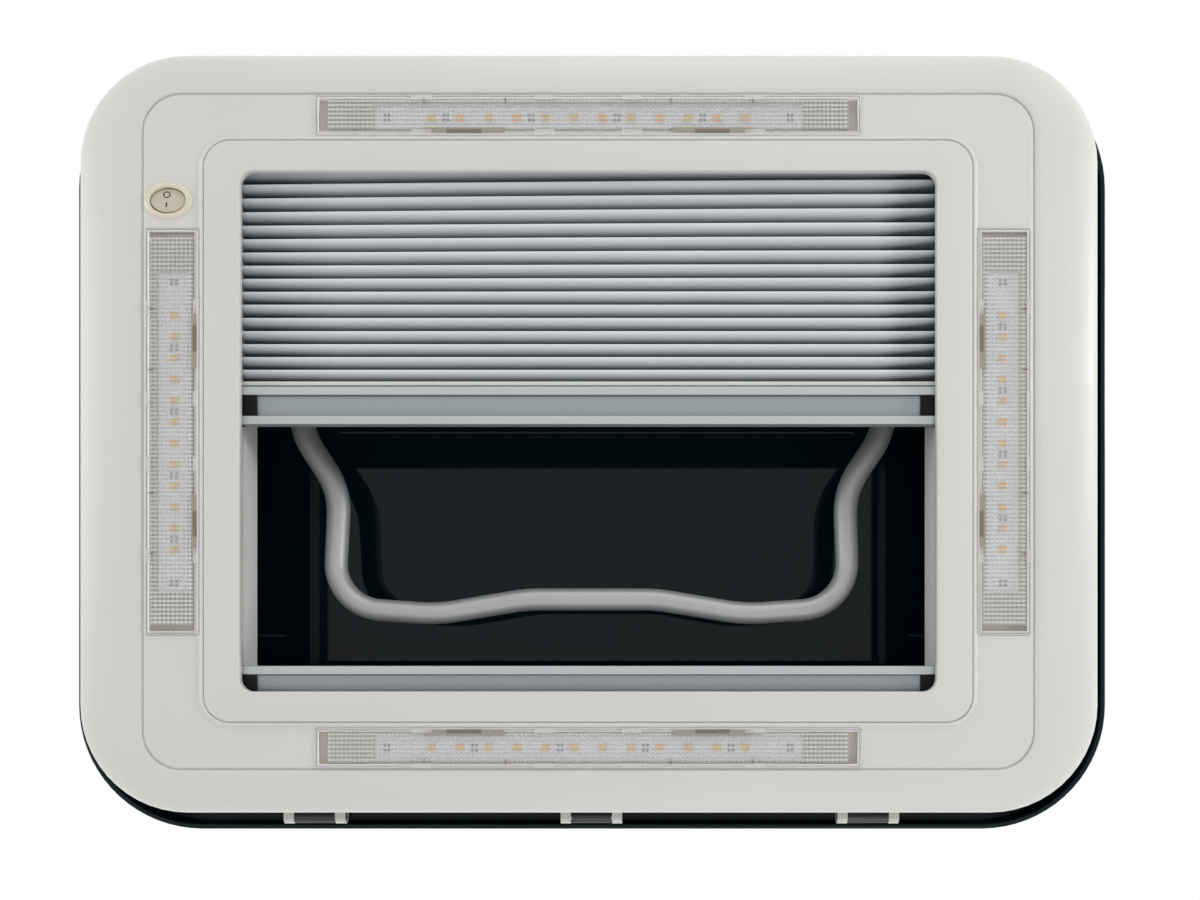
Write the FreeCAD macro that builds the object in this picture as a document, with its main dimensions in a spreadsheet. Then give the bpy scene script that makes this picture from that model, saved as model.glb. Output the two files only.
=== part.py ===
"""Roof hatch of a camper, in millimetres, as it is fitted: +Z up, the room below and the dome on top.

Z = 0 is the room side of the inner frame, X runs along the hatch and +Y points to the hinges.
"""
import FreeCAD, Part
import math
import os
import Sketcher

doc = FreeCAD.newDocument("camper_roof_hatch")
sheet = doc.addObject("Spreadsheet::Sheet", "Sizes")

SIZES = [
    ("cutout_length", 700, "roof cut-out along X"),
    ("cutout_width", 500, "roof cut-out along Y"),
    ("cutout_play", 3, "gap between neck and cut-out on each side"),
    ("wall", 3, "wall of the moulded frames"),
    ("frame_length", 773, "inner frame over its rim, along X"),
    ("frame_width", 575, "inner frame over its rim, along Y"),
    ("frame_corner", 82, "corner radius of the rim"),
    ("rim_side", 51, "width of the convex rim at the short sides"),
    ("rim_end", 33, "width of the convex rim at the long sides"),
    ("rim_corner_loss", 52, "how much the corner radius shrinks across the rim"),
    ("rim_drop", 12, "how far the rim curves down to the room"),
    ("rim_land", 3, "upright edge of the rim against the ceiling"),
    ("band_level", 2, "room face of the lamp band"),
    ("step_length", 580, "raised inner band along X"),
    ("step_width", 440, "raised inner band along Y"),
    ("step_corner", 22, "corner radius of the raised band"),
    ("step_round", 1.2, "round on both edges of the raised band"),
    ("groove_width", 1.5, "groove between rim and lamp band"),
    ("groove_deep", 1.4, "depth of that groove"),
    ("window_length", 522, "window along X"),
    ("window_width", 390, "window along Y"),
    ("window_corner", 10, "corner radius of the window"),
    ("lip_height", 1.5, "lip round the window behind the plate"),
    ("collar_height", 24, "collar that slides into the neck"),
    ("neck_corner", 30, "corner radius of the neck"),
    ("collar_play", 0.3, "gap between collar and neck"),
    ("lamp_long", 409, "lamp cover on the long sides"),
    ("lamp_short", 305, "lamp cover on the short sides"),
    ("lamp_long_width", 29.6, "width of the long covers"),
    ("lamp_short_width", 39.6, "width of the short covers"),
    ("lamp_long_place", 237.2, "middle of the long covers from the centre"),
    ("lamp_short_place", 312, "middle of the short covers from the centre"),
    ("lamp_corner", 2, "corner radius of a cover"),
    ("lamp_proud", 1.4, "cover in front of the lamp band"),
    ("lamp_depth", 7.4, "cover from its face to the pocket floor"),
    ("lamp_skin", 1.4, "wall of the clear cover"),
    ("lamp_play", 0.3, "gap round a cover"),
    ("pocket_wall", 1.6, "wall and floor of a lamp pocket"),
    ("board_thick", 1.2, "light board"),
    ("board_share", 0.79, "light board as a share of its cover's length"),
    ("board_side", 4, "light board inside the side of its cover"),
    ("switch_x", -315, "middle of the switch along X"),
    ("switch_gap", 6.75, "bezel from the end of the left cover"),
    ("bezel_length", 36, "switch bezel along X"),
    ("bezel_width", 27.5, "switch bezel along Y"),
    ("bezel_proud", 1.6, "bezel in front of the lamp band"),
    ("bezel_deep", 15, "barrel of the switch behind the band"),
    ("bezel_wall", 1.8, "wall of the barrel"),
    ("rocker_length", 26, "rocker along X"),
    ("rocker_width", 18.6, "rocker along Y"),
    ("rocker_thick", 6, "rocker from its face to its back"),
    ("rocker_play", 0.7, "gap round the rocker"),
    ("rocker_sunk", 1.2, "rocker face behind the bezel face"),
    ("rocker_tilt", 6, "tilt of the rocker at either stop, degrees"),
    ("rocker_pin", 1.5, "radius of the rocker's pivot pins"),
    ("pin_play", 0.05, "radial play of a pin in its bore"),
    ("rail_gap", 0.5, "rail behind the window lip"),
    ("rail_thick", 21.5, "depth of a side rail from face to back"),
    ("rail_top", 48, "upper edge of rails and cassettes"),
    ("rail_length", 474, "side rails along Y"),
    ("slot_deep", 16.5, "guide slot in a rail"),
    ("slot_play", 0.4, "gap between a guide shoe and its slot"),
    ("bar_level", 8, "room face of the blind and screen bars"),
    ("bar_thick", 11, "bars from face to back"),
    ("bar_width", 28.4, "bars along Y"),
    ("bar_strip", 6.6, "flat strip on each side of the grip channel"),
    ("grip_deep", 2.6, "depth of the grip channel"),
    ("bar_half", 262, "half the length of a bar's profile"),
    ("cap_inset", 11, "end cap inside the grip channel"),
    ("blind_edge", -6.8, "edge of the half drawn blind bar towards the hinges"),
    ("screen_edge", 176, "edge of the parked screen bar towards the blind"),
    ("cassette_deep", 41, "cassette along Y"),
    ("cassette_wall", 2.5, "wall of a cassette"),
    ("cassette_skirt", 22, "lower edge of a cassette's front"),
    ("cassette_back", 10.6, "lower edge of a cassette's back"),
    ("pleat_level", 11, "room side of the pleated cloth"),
    ("pleat_deep", 6, "depth of the pleats"),
    ("soft_gap", 0.4, "gap round the cloth"),
    ("roof_thick", 33, "roof that the hatch clamps"),
    ("flange_length", 780, "outer flange along X"),
    ("flange_width", 578, "outer flange along Y"),
    ("flange_corner", 60, "corner radius of the flange"),
    ("flange_thick", 4, "outer flange"),
    ("neck_reach", 36, "neck below the flange"),
    ("upstand_offset", 11, "upstand outside the neck"),
    ("upstand_height", 22, "upstand above the flange"),
    ("seal_width", 11, "dome seal across"),
    ("seal_height", 7.7, "dome seal above the upstand"),
    ("seal_squeeze", 0.3, "gap between seal and dome"),
    ("dome_length", 830, "dome along X"),
    ("dome_width", 618, "dome along Y"),
    ("dome_corner", 100, "corner radius of the dome"),
    ("dome_wall", 4, "outer skin of the dome"),
    ("dome_rim", 65, "lower edge of the dome"),
    ("skirt_height", 27, "upright skirt of the dome"),
    ("crown_round", 46, "round of the crown above the skirt"),
    ("pane_wall", 3, "inner skin of the dome"),
    ("pane_level", 116, "room side of the flat inner pane"),
    ("pane_foot", 6, "pane wall inside the upstand line"),
    ("pane_slope", 15, "how far the pane's wall leans in"),
    ("bond_gap", 0.3, "bond between the two skins"),
    ("hinge_inset", 11, "hinge axis inside the edge of the dome"),
    ("hinge_z", 59, "hinge axis height"),
    ("hinge_pitch", 221, "distance between hinges"),
    ("hinge_pin", 3, "radius of a hinge pin"),
    ("ear_round", 5.5, "radius of a hinge ear"),
    ("ear_root", 7.5, "root of a hinge ear inside the edge of the flange"),
    ("ear_thick", 8, "hinge ear along X"),
    ("ear_spread", 41, "middle to middle of a pair of ears"),
    ("leaf_play", 0.5, "gap between leaf and ears"),
    ("barrel_round", 5, "radius of a hinge barrel"),
    ("leaf_thick", 9, "hinge leaf along Y"),
    ("bow_round", 9.5, "radius of the bow's tube"),
    ("bow_arm_x", 240, "bow arms at the pivot, from the middle"),
    ("bow_waist_x", 205, "bow arms at the waist, from the middle"),
    ("bow_pivot_y", -142, "bow pivot along Y"),
    ("bow_pivot_z", 100, "bow pivot height"),
    ("bow_slope", 9.9, "slope of the bow, degrees"),
    ("bow_tail", 8, "tube behind the pivot"),
    ("bow_shoulder", 128, "pivot to the start of the waist, along the bow"),
    ("bow_waist", 180, "pivot to the end of the waist, along the bow"),
    ("bow_reach", 282, "pivot to the grip's low corners, along the bow"),
    ("bow_grip_x", 122, "wave of the grip, from the middle"),
    ("bow_wave", 12, "how far the grip waves back in the middle"),
    ("bow_wave_x", 52, "middle stretch of the grip, from the middle"),
    ("bow_bend", 68, "bend radius at shoulder and waist"),
    ("bow_elbow", 40, "bend radius of the elbows"),
    ("bow_wave_bend", 130, "bend radius of the wave"),
    ("bow_pin", 4, "radius of the bow's pins"),
    ("cheek_thick", 5, "cheeks of the bow brackets"),
    ("cheek_play", 1.5, "gap between bow and cheek"),
    ("cheek_width", 22, "cheeks along Y"),
    ("bracket_foot", 3, "foot of a bow bracket on the pane"),
    ("bracket_length", 44, "foot of a bow bracket along X"),
    ("bracket_width", 34, "foot of a bow bracket along Y"),
]
for row, (alias, value, note) in enumerate(SIZES, start=1):
    sheet.set(f"A{row}", note)
    sheet.set(f"B{row}", str(value))
    sheet.setAlias(f"B{row}", alias)
doc.recompute()


def sized(text):
    """An expression in which each known size becomes its cell."""
    words = []
    for word in text.split():
        bare = word.strip("()")
        known = any(bare == alias for alias, _, _ in SIZES)
        words.append(word.replace(bare, f"Sizes.{bare}") if known else word)
    return " ".join(words)


def size(alias):
    """The number in a cell."""
    return float(sheet.get(alias))


def new_body(label):
    body = doc.addObject("PartDesign::Body", label)
    body.Label = label
    return body


def new_sketch(body, name, plane="XY_Plane", at=("0", "0", "0")):
    """A sketch on one of the body's own origin planes, shifted by three expressions."""
    sketch = body.newObject("Sketcher::SketchObject", name)
    support = next(f for f in body.Origin.OriginFeatures if f.Role == plane)
    sketch.AttachmentSupport = [(support, "")]
    sketch.MapMode = "FlatFace"
    for axis, text in zip("xyz", at):
        sketch.setExpression(f"AttachmentOffset.Base.{axis}", sized(text) + " + 0")
    return sketch


def add_round_rectangle(sketch, tag, length, width, corner):
    """A rectangle with round corners, centred on the sketch; the three sizes are expressions."""
    half_x, half_y, radius = 60.0, 40.0, 5.0
    first = sketch.GeometryCount
    corners = [(1, -1, -90), (1, 1, 0), (-1, 1, 90), (-1, -1, 180)]
    sides = [
        ((-half_x + radius, -half_y), (half_x - radius, -half_y)),
        ((half_x, -half_y + radius), (half_x, half_y - radius)),
        ((half_x - radius, half_y), (-half_x + radius, half_y)),
        ((-half_x, half_y - radius), (-half_x, -half_y + radius)),
    ]
    for (start, end), (sx, sy, turn) in zip(sides, corners):
        sketch.addGeometry(Part.LineSegment(FreeCAD.Vector(*start), FreeCAD.Vector(*end)), False)
        middle = FreeCAD.Vector(sx * (half_x - radius), sy * (half_y - radius))
        circle = Part.Circle(middle, FreeCAD.Vector(0, 0, 1), radius)
        arc = Part.ArcOfCircle(circle, math.radians(turn), math.radians(turn + 90))
        sketch.addGeometry(arc, False)
    lines = [first, first + 2, first + 4, first + 6]
    arcs = [first + 1, first + 3, first + 5, first + 7]
    for i in range(4):
        sketch.addConstraint(Sketcher.Constraint("Tangent", lines[i], 2, arcs[i], 1))
        sketch.addConstraint(Sketcher.Constraint("Tangent", arcs[i], 2, lines[(i + 1) % 4], 1))
    for i in (0, 2):
        sketch.addConstraint(Sketcher.Constraint("Horizontal", lines[i]))
        sketch.addConstraint(Sketcher.Constraint("Vertical", lines[i + 1]))
    for arc in arcs[1:]:
        sketch.addConstraint(Sketcher.Constraint("Equal", arcs[0], arc))
    sketch.addConstraint(Sketcher.Constraint("Symmetric", arcs[3], 3, arcs[1], 3, -1, 1))
    drives = [
        ("corner", Sketcher.Constraint("Radius", arcs[0], radius), corner),
        ("length", Sketcher.Constraint("DistanceX", lines[3], 1, lines[1], 1, 2 * half_x), length),
        ("width", Sketcher.Constraint("DistanceY", lines[0], 1, lines[2], 1, 2 * half_y), width),
    ]
    for word, constraint, text in drives:
        number = sketch.addConstraint(constraint)
        sketch.renameConstraint(number, f"{tag}_{word}")
        sketch.setExpression(f"Constraints.{tag}_{word}", sized(text))


OVAL_SHARE = 0.49


def add_oval(sketch, tag, length, width):
    """An oval centred on the sketch: its ends are nearly half circles."""
    add_round_rectangle(sketch, tag, length, width, f"{OVAL_SHARE} * ( {width} )")


def add_polygon(sketch, points):
    """A closed outline through points, each an (across, up) pair of expressions."""
    flat = [tuple(sheet_number(text) for text in point) for point in points]
    first = sketch.GeometryCount
    for here, there in zip(flat, flat[1:] + flat[:1]):
        sketch.addGeometry(Part.LineSegment(FreeCAD.Vector(*here), FreeCAD.Vector(*there)), False)
    for i in range(len(points)):
        after = first + (i + 1) % len(points)
        sketch.addConstraint(Sketcher.Constraint("Coincident", first + i, 2, after, 1))
    for i, point in enumerate(points):
        for kind, text, place in zip(("DistanceX", "DistanceY"), point, flat[i]):
            number = sketch.addConstraint(Sketcher.Constraint(kind, -1, 1, first + i, 1, place))
            sketch.renameConstraint(number, f"point{i}_{kind[-1]}")
            sketch.setExpression(f"Constraints.point{i}_{kind[-1]}", sized(text) + " + 0")


def sheet_number(text):
    """The value of an expression, worked out by the sheet itself."""
    return float(sheet.evalExpression(sized(text)))


def extrude(body, kind, sketch, name, length, back=False, middle=False):
    """A Pad or Pocket of a sketch; back turns its direction round."""
    feature = body.newObject(f"PartDesign::{kind}", name)
    feature.Profile = sketch
    feature.setExpression("Length", sized(length))
    feature.Reversed = back
    feature.Midplane = middle
    sketch.Visibility = False
    doc.recompute()
    return feature


CROWN_STEPS = (0, 10, 20, 30, 40, 50, 60, 70, 80, 90)


def crown(body, kind, name, outline, loss, level, rise):
    """A curved border: rectangles that draw in as 1 - cos while they climb as sin, lofted in ruled strips.

    outline and loss hold length, width and corner radius, and what each loses at the top.
    """
    sections = []
    for step in CROWN_STEPS:
        drawn = f"( 1 - cos({step} deg) )"
        sketch = new_sketch(body, f"{name}_{step}", at=("0", "0", f"{level} + {rise} * sin({step} deg)"))
        sizes = [f"{full} - {lost} * {drawn}" for full, lost in zip(outline, loss)]
        add_round_rectangle(sketch, "edge", *sizes)
        sections.append(sketch)
    loft = body.newObject(f"PartDesign::{kind}Loft", name)
    loft.Profile = sections[0]
    loft.Sections = sections[1:]
    loft.Ruled = True
    doc.recompute()
    return loft


def soften(body, base, name, level, radius):
    """Rounds all edges of a feature that lie at one height; level and radius are expressions."""
    height = sheet_number(level)
    edges = [f"Edge{i}" for i, edge in enumerate(base.Shape.Edges, start=1)
             if all(abs(corner.Z - height) < 1e-4 for corner in edge.Vertexes)]
    fillet = body.newObject("PartDesign::Fillet", name)
    fillet.Base = (base, edges)
    fillet.setExpression("Radius", sized(radius))
    doc.recompute()
    return fillet


def ring(body, name, level, height, outer, inner, back=False):
    """A padded ring between two round rectangles, each (length, width, corner)."""
    sketch = new_sketch(body, f"{name}_outline", at=("0", "0", level))
    add_round_rectangle(sketch, "outer", *outer)
    add_round_rectangle(sketch, "inner", *inner)
    return extrude(body, "Pad", sketch, name, height, back=back)


def grown(outline, by):
    """A round rectangle made larger by an expression on every side."""
    length, width, corner = outline
    return (f"{length} + 2 * {by}", f"{width} + 2 * {by}", f"{corner} + {by}")


# Inner frame: one white moulding whose convex rim lies on the ceiling, with the lamp pockets,
# the raised band round the window and the collar that telescopes into the neck.
inner_frame = new_body("inner_frame")
rim = ("frame_length", "frame_width", "frame_corner")
rim_loss = ("2 * rim_side", "2 * rim_end", "rim_corner_loss")
rim_base = "( band_level + rim_drop )"
edge = new_sketch(inner_frame, "rim_edge", at=("0", "0", rim_base))
add_round_rectangle(edge, "edge", *rim)
extrude(inner_frame, "Pad", edge, "rim_upright", "rim_land")
crown(inner_frame, "Additive", "rim_crown", rim, rim_loss, rim_base, "( 0 - rim_drop )")
hollow = tuple(f"{text} - {loss}" for text, loss in zip(rim, ("2 * wall", "2 * wall", "wall")))
crown(inner_frame, "Subtractive", "rim_hollow", hollow, rim_loss, f"{rim_base} + wall", "( 0 - rim_drop )")
step = ("step_length", "step_width", "step_corner")
window = ("window_length", "window_width", "window_corner")
ring(inner_frame, "raised_band", "band_level", "band_level", step, window, back=True)
plate_back = "( band_level + wall )"
opening = new_sketch(inner_frame, "window_outline", at=("0", "0", "0"))
add_round_rectangle(opening, "edge", *window)
window_cut = extrude(inner_frame, "Pocket", opening, "window_cut", f"{plate_back} + wall", back=True)
soften(inner_frame, window_cut, "band_rounds", "0", "step_round")
band = tuple(f"( {text} - {loss} )" for text, loss in zip(rim, rim_loss))
groove = new_sketch(inner_frame, "groove_outline", at=("0", "0", "band_level"))
add_round_rectangle(groove, "outer", *band)
add_round_rectangle(groove, "inner", *grown(band, "( 0 - groove_width )"))
extrude(inner_frame, "Pocket", groove, "groove", "groove_deep", back=True)
ring(inner_frame, "window_lip", plate_back, "lip_height", grown(window, "wall"), window)
neck_outer = ("( cutout_length - 2 * cutout_play )", "( cutout_width - 2 * cutout_play )", "neck_corner")
neck_inner = grown(neck_outer, "( 0 - wall )")
collar_outer = grown(neck_inner, "( 0 - collar_play )")
collar_inner = grown(collar_outer, "( 0 - wall )")
ring(inner_frame, "collar", plate_back, "collar_height", collar_outer, collar_inner)

LAMPS = [
    ("front", "lamp_long", "lamp_long_width", "0", "0 - lamp_long_place"),
    ("rear", "lamp_long", "lamp_long_width", "0", "lamp_long_place"),
    ("left", "lamp_short_width", "lamp_short", "0 - lamp_short_place", "0"),
    ("right", "lamp_short_width", "lamp_short", "lamp_short_place", "0"),
]
lamp_face = "( band_level - lamp_proud )"
lamp_floor = f"( {lamp_face} + lamp_depth )"
for side, along_x, along_y, at_x, at_y in LAMPS:
    cover = (along_x, along_y, "lamp_corner")
    box = new_sketch(inner_frame, f"pocket_{side}_wall", at=(at_x, at_y, plate_back))
    add_round_rectangle(box, "edge", *grown(cover, "( lamp_play + pocket_wall )"))
    extrude(inner_frame, "Pad", box, f"pocket_{side}", f"{lamp_floor} + pocket_wall - {plate_back}")
for side, along_x, along_y, at_x, at_y in LAMPS:
    cover = (along_x, along_y, "lamp_corner")
    inside = new_sketch(inner_frame, f"pocket_{side}_inside", at=(at_x, at_y, "0"))
    add_round_rectangle(inside, "edge", *grown(cover, "lamp_play"))
    extrude(inner_frame, "Pocket", inside, f"pocket_{side}_cut", lamp_floor, back=True)
barrel_length = "( rocker_length + 2 * rocker_play + 2 * bezel_wall )"
barrel_width = "( rocker_width + 2 * rocker_play + 2 * bezel_wall )"
switch_y = "( 0 - lamp_short / 2 - switch_gap - bezel_width / 2 )"
switch_hole = new_sketch(inner_frame, "switch_hole_outline", at=("switch_x", switch_y, "0"))
add_oval(switch_hole, "hole", f"{barrel_length} + 2 * lamp_play", f"{barrel_width} + 2 * lamp_play")
extrude(inner_frame, "Pocket", switch_hole, "switch_hole", f"{plate_back} + wall", back=True)

# Lamps: clear covers, each a tray with its open side on the pocket floor, over a light board.
nodes = [inner_frame]
for side, along_x, along_y, at_x, at_y in LAMPS:
    lens = new_body(f"lamp_cover_{side}")
    outline = (along_x, along_y, "lamp_corner")
    face = new_sketch(lens, "face", at=(at_x, at_y, lamp_face))
    add_round_rectangle(face, "edge", *outline)
    extrude(lens, "Pad", face, "block", "lamp_depth")
    inside = new_sketch(lens, "inside", at=(at_x, at_y, f"{lamp_face} + lamp_skin"))
    add_round_rectangle(inside, "edge", *grown(outline, "( 0 - lamp_skin )"))
    extrude(lens, "Pocket", inside, "tray", "lamp_depth", back=True)
    board = new_body(f"light_board_{side}")
    strip = new_sketch(board, "strip", at=(at_x, at_y, lamp_floor))
    shares = [f"{along_x} * board_share", f"{along_y} - 2 * board_side"]
    if side in ("left", "right"):
        shares = [f"{along_x} - 2 * board_side", f"{along_y} * board_share"]
    add_round_rectangle(strip, "edge", *shares, "lamp_corner")
    extrude(board, "Pad", strip, "sheet", "board_thick", back=True)
    nodes += [lens, board]

# Switch: an oval bezel with a barrel through the lamp band, and a rocker on two small pins.
bezel_face = "( band_level - bezel_proud )"
rocker_face = f"( {bezel_face} + rocker_sunk )"
pivot_level = sheet_number(f"{rocker_face} + rocker_thick / 2")
switch_at = FreeCAD.Vector(size("switch_x"), sheet_number(switch_y), 0)
bezel = new_body("switch_bezel")
flange = new_sketch(bezel, "flange_outline", at=("switch_x", switch_y, bezel_face))
add_oval(flange, "edge", "bezel_length", "bezel_width")
extrude(bezel, "Pad", flange, "bezel_flange", "bezel_proud")
barrel = new_sketch(bezel, "barrel_outline", at=("switch_x", switch_y, bezel_face))
add_oval(barrel, "edge", barrel_length, barrel_width)
extrude(bezel, "Pad", barrel, "bezel_barrel", "bezel_proud + bezel_deep")
mouth = new_sketch(bezel, "mouth_outline", at=("switch_x", switch_y, bezel_face))
add_oval(mouth, "edge", "rocker_length + 2 * rocker_play", "rocker_width + 2 * rocker_play")
extrude(bezel, "Pocket", mouth, "mouth", "bezel_proud + bezel_deep - bezel_wall", back=True)


def add_circle(sketch, radius, across="0", up="0"):
    """A circle at an (across, up) place."""
    place = FreeCAD.Vector(sheet_number(across), sheet_number(up))
    number = sketch.addGeometry(Part.Circle(place, FreeCAD.Vector(0, 0, 1), 5.0), False)
    drives = [
        (f"radius{number}", Sketcher.Constraint("Radius", number, 5.0), radius),
        (f"across{number}", Sketcher.Constraint("DistanceX", -1, 1, number, 3, place.x), across),
        (f"up{number}", Sketcher.Constraint("DistanceY", -1, 1, number, 3, place.y), up),
    ]
    for word, constraint, text in drives:
        limit = sketch.addConstraint(constraint)
        sketch.renameConstraint(limit, word)
        sketch.setExpression(f"Constraints.{word}", sized(text) + " + 0")


pivot_text = f"{rocker_face} + rocker_thick / 2"
bores = new_sketch(bezel, "pivot_bores_outline", plane="YZ_Plane", at=("0", "0", "switch_x"))
add_circle(bores, "rocker_pin + pin_play", switch_y, pivot_text)
extrude(bezel, "Pocket", bores, "pivot_bores", f"{barrel_length} + 2 * lamp_play", middle=True)

rocker = new_body("switch_rocker")
paddle = new_sketch(rocker, "paddle_outline", at=("0", "0", "0 - rocker_thick / 2"))
add_oval(paddle, "edge", "rocker_length", "rocker_width")
extrude(rocker, "Pad", paddle, "paddle", "rocker_thick")
axle = new_sketch(rocker, "axle_outline", plane="YZ_Plane")
add_circle(axle, "rocker_pin")
extrude(rocker, "Pad", axle, "axle", "rocker_length + 2 * rocker_play + bezel_wall", middle=True)
rocker.Placement = FreeCAD.Placement(
    switch_at + FreeCAD.Vector(0, 0, pivot_level),
    FreeCAD.Rotation(FreeCAD.Vector(1, 0, 0), -size("rocker_tilt")),
)
nodes += [bezel, rocker]

# Side rails: white channels behind the short sides of the window; the bars' shoes run in their slots.
rail_face = "( window_length / 2 + wall + rail_gap )"
slot_low = "( bar_level - slot_play )"
slot_high = "( bar_level + bar_thick + slot_play )"
for side, sign in (("left", "0 -"), ("right", "0 +")):
    rail = new_body(f"side_rail_{side}")
    profile = new_sketch(rail, "profile", plane="XZ_Plane")
    across = [rail_face, f"( {rail_face} + rail_thick )", f"( {rail_face} + slot_deep )"]
    face, back, slot = (f"{sign} {text}" for text in across)
    outline = [
        (face, plate_back), (back, plate_back), (back, "rail_top"), (face, "rail_top"),
        (face, slot_high), (slot, slot_high), (slot, slot_low), (face, slot_low),
    ]
    add_polygon(profile, outline)
    extrude(rail, "Pad", profile, "channel", "rail_length", middle=True)
    nodes.append(rail)

# Cassettes: channels between the rails, open to the room, that take the folded blind and screen.
for label, sign in (("blind_cassette", "0 -"), ("screen_cassette", "0 +")):
    cassette = new_body(label)
    profile = new_sketch(cassette, "profile", plane="YZ_Plane")
    back = f"{sign} rail_length / 2"
    inside = f"{sign} ( rail_length / 2 - cassette_wall )"
    front = f"{sign} ( rail_length / 2 - cassette_deep )"
    web = f"{sign} ( rail_length / 2 - cassette_deep + cassette_wall )"
    outline = [
        (back, "cassette_back"), (back, "rail_top"), (front, "rail_top"), (front, "cassette_skirt"),
        (web, "cassette_skirt"), (web, "rail_top - cassette_wall"), (inside, "rail_top - cassette_wall"),
        (inside, "cassette_back"),
    ]
    add_polygon(profile, outline)
    extrude(cassette, "Pad", profile, "channel", f"2 * {rail_face} - 2 * bond_gap", middle=True)
    nodes.append(cassette)

# Bars: grey grip profiles with a recessed channel, and black end caps that close the channel
# and carry the guide shoes.
for name, low in (("blind", "( blind_edge - bar_width )"), ("screen", "screen_edge")):
    high = f"( {low} + bar_width )"
    bar = new_body(f"{name}_bar")
    profile = new_sketch(bar, "profile", plane="YZ_Plane")
    grip_low, grip_high = f"( {low} + bar_strip )", f"( {high} - bar_strip )"
    bar_back, grip_floor = "( bar_level + bar_thick )", "( bar_level + grip_deep )"
    outline = [
        (low, "bar_level"), (grip_low, "bar_level"), (grip_low, grip_floor), (grip_high, grip_floor),
        (grip_high, "bar_level"), (high, "bar_level"), (high, bar_back), (low, bar_back),
    ]
    add_polygon(profile, outline)
    extrude(bar, "Pad", profile, "grip_profile", "2 * bar_half", middle=True)
    nodes.append(bar)
    for side, sign in (("left", -1), ("right", 1)):
        cap = new_body(f"{name}_bar_cap_{side}")
        shoe = new_sketch(cap, "shoe_outline", plane="YZ_Plane", at=("0", "0", f"{sign} * bar_half"))
        add_polygon(shoe, [(low, "bar_level"), (high, "bar_level"), (high, bar_back), (low, bar_back)])
        reach = f"{rail_face} + slot_deep - bar_half - 2 * slot_play"
        extrude(cap, "Pad", shoe, "shoe", reach, back=sign < 0)
        plug = new_sketch(cap, "plug_outline", plane="YZ_Plane", at=("0", "0", f"{sign} * bar_half"))
        plug_low, plug_high = f"{grip_low} + bond_gap", f"{grip_high} - bond_gap"
        plug_face = "bar_level + bond_gap"
        corners = [
            (plug_low, plug_face), (plug_high, plug_face), (plug_high, grip_floor), (plug_low, grip_floor),
        ]
        add_polygon(plug, corners)
        extrude(cap, "Pad", plug, "plug", "cap_inset", back=sign > 0)
        nodes.append(cap)

# Pleated cloth of the blind: its outer shape between cassette and bar.
cloth = doc.addObject("Part::Box", "blind_cloth")
cloth.Label = "blind_cloth"
cloth_low = "( soft_gap + cassette_wall - rail_length / 2 )"
cloth.setExpression("Length", sized(f"2 * {rail_face} - 4 * soft_gap"))
cloth.setExpression("Width", sized(f"blind_edge - bar_width - soft_gap - {cloth_low}"))
cloth.setExpression("Height", sized("pleat_deep"))
cloth.setExpression("Placement.Base.x", sized(f"2 * soft_gap - {rail_face}"))
cloth.setExpression("Placement.Base.y", sized(cloth_low))
cloth.setExpression("Placement.Base.z", sized("pleat_level"))
nodes.append(cloth)

# Outer frame: white moulding with the roof flange, the neck through the cut-out,
# the upstand under the dome and three pairs of hinge ears.
outer_frame = new_body("outer_frame")
flange_low = f"( {rim_base} + rim_land + roof_thick )"
flange_top = f"( {flange_low} + flange_thick )"
flange_outline = ("flange_length", "flange_width", "flange_corner")
upstand_outer = grown(neck_outer, "upstand_offset")
upstand_inner = grown(upstand_outer, "( 0 - wall )")
ring(outer_frame, "roof_flange", flange_low, "flange_thick", flange_outline, neck_inner)
ring(outer_frame, "neck", flange_low, "neck_reach", neck_outer, neck_inner, back=True)
ring(outer_frame, "upstand", flange_top, "upstand_height", upstand_outer, upstand_inner)
hinge_y = "( dome_width / 2 - hinge_inset )"
HINGES = [("left", "( 0 - hinge_pitch )"), ("middle", "0"), ("right", "hinge_pitch")]
for place, middle in HINGES:
    for turn in (-1, 1):
        tag = f"{place}_{'inner' if turn > 0 else 'outer'}"
        at = f"{middle} + {turn} * ear_spread / 2"
        root = new_sketch(outer_frame, f"ear_root_{tag}", plane="YZ_Plane", at=("0", "0", at))
        inward, top = "flange_width / 2 - ear_root", "hinge_z + ear_round"
        low = "hinge_z - ear_round"
        add_polygon(root, [(inward, low), (hinge_y, low), (hinge_y, top), (inward, top)])
        extrude(outer_frame, "Pad", root, f"ear_{tag}", "ear_thick", middle=True)
        nose = new_sketch(outer_frame, f"ear_nose_{tag}", plane="YZ_Plane", at=("0", "0", at))
        add_circle(nose, "ear_round", hinge_y, "hinge_z")
        extrude(outer_frame, "Pad", nose, f"nose_{tag}", "ear_thick", middle=True)
pin_way = new_sketch(outer_frame, "pin_bore_outline", plane="YZ_Plane")
add_circle(pin_way, "hinge_pin + pin_play", hinge_y, "hinge_z")
extrude(outer_frame, "Pocket", pin_way, "pin_bores", "3 * hinge_pitch", middle=True)
nodes.append(outer_frame)

# Dome seal: a rubber ring on the upstand.
seal = new_body("dome_seal")
upstand_top = f"( {flange_top} + upstand_height )"
seal_outer = grown(upstand_outer, "( seal_width - wall ) / 2")
seal_inner = grown(seal_outer, "( 0 - seal_width )")
ring(seal, "seal_ring", upstand_top, "seal_height", seal_outer, seal_inner)
nodes.append(seal)

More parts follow.
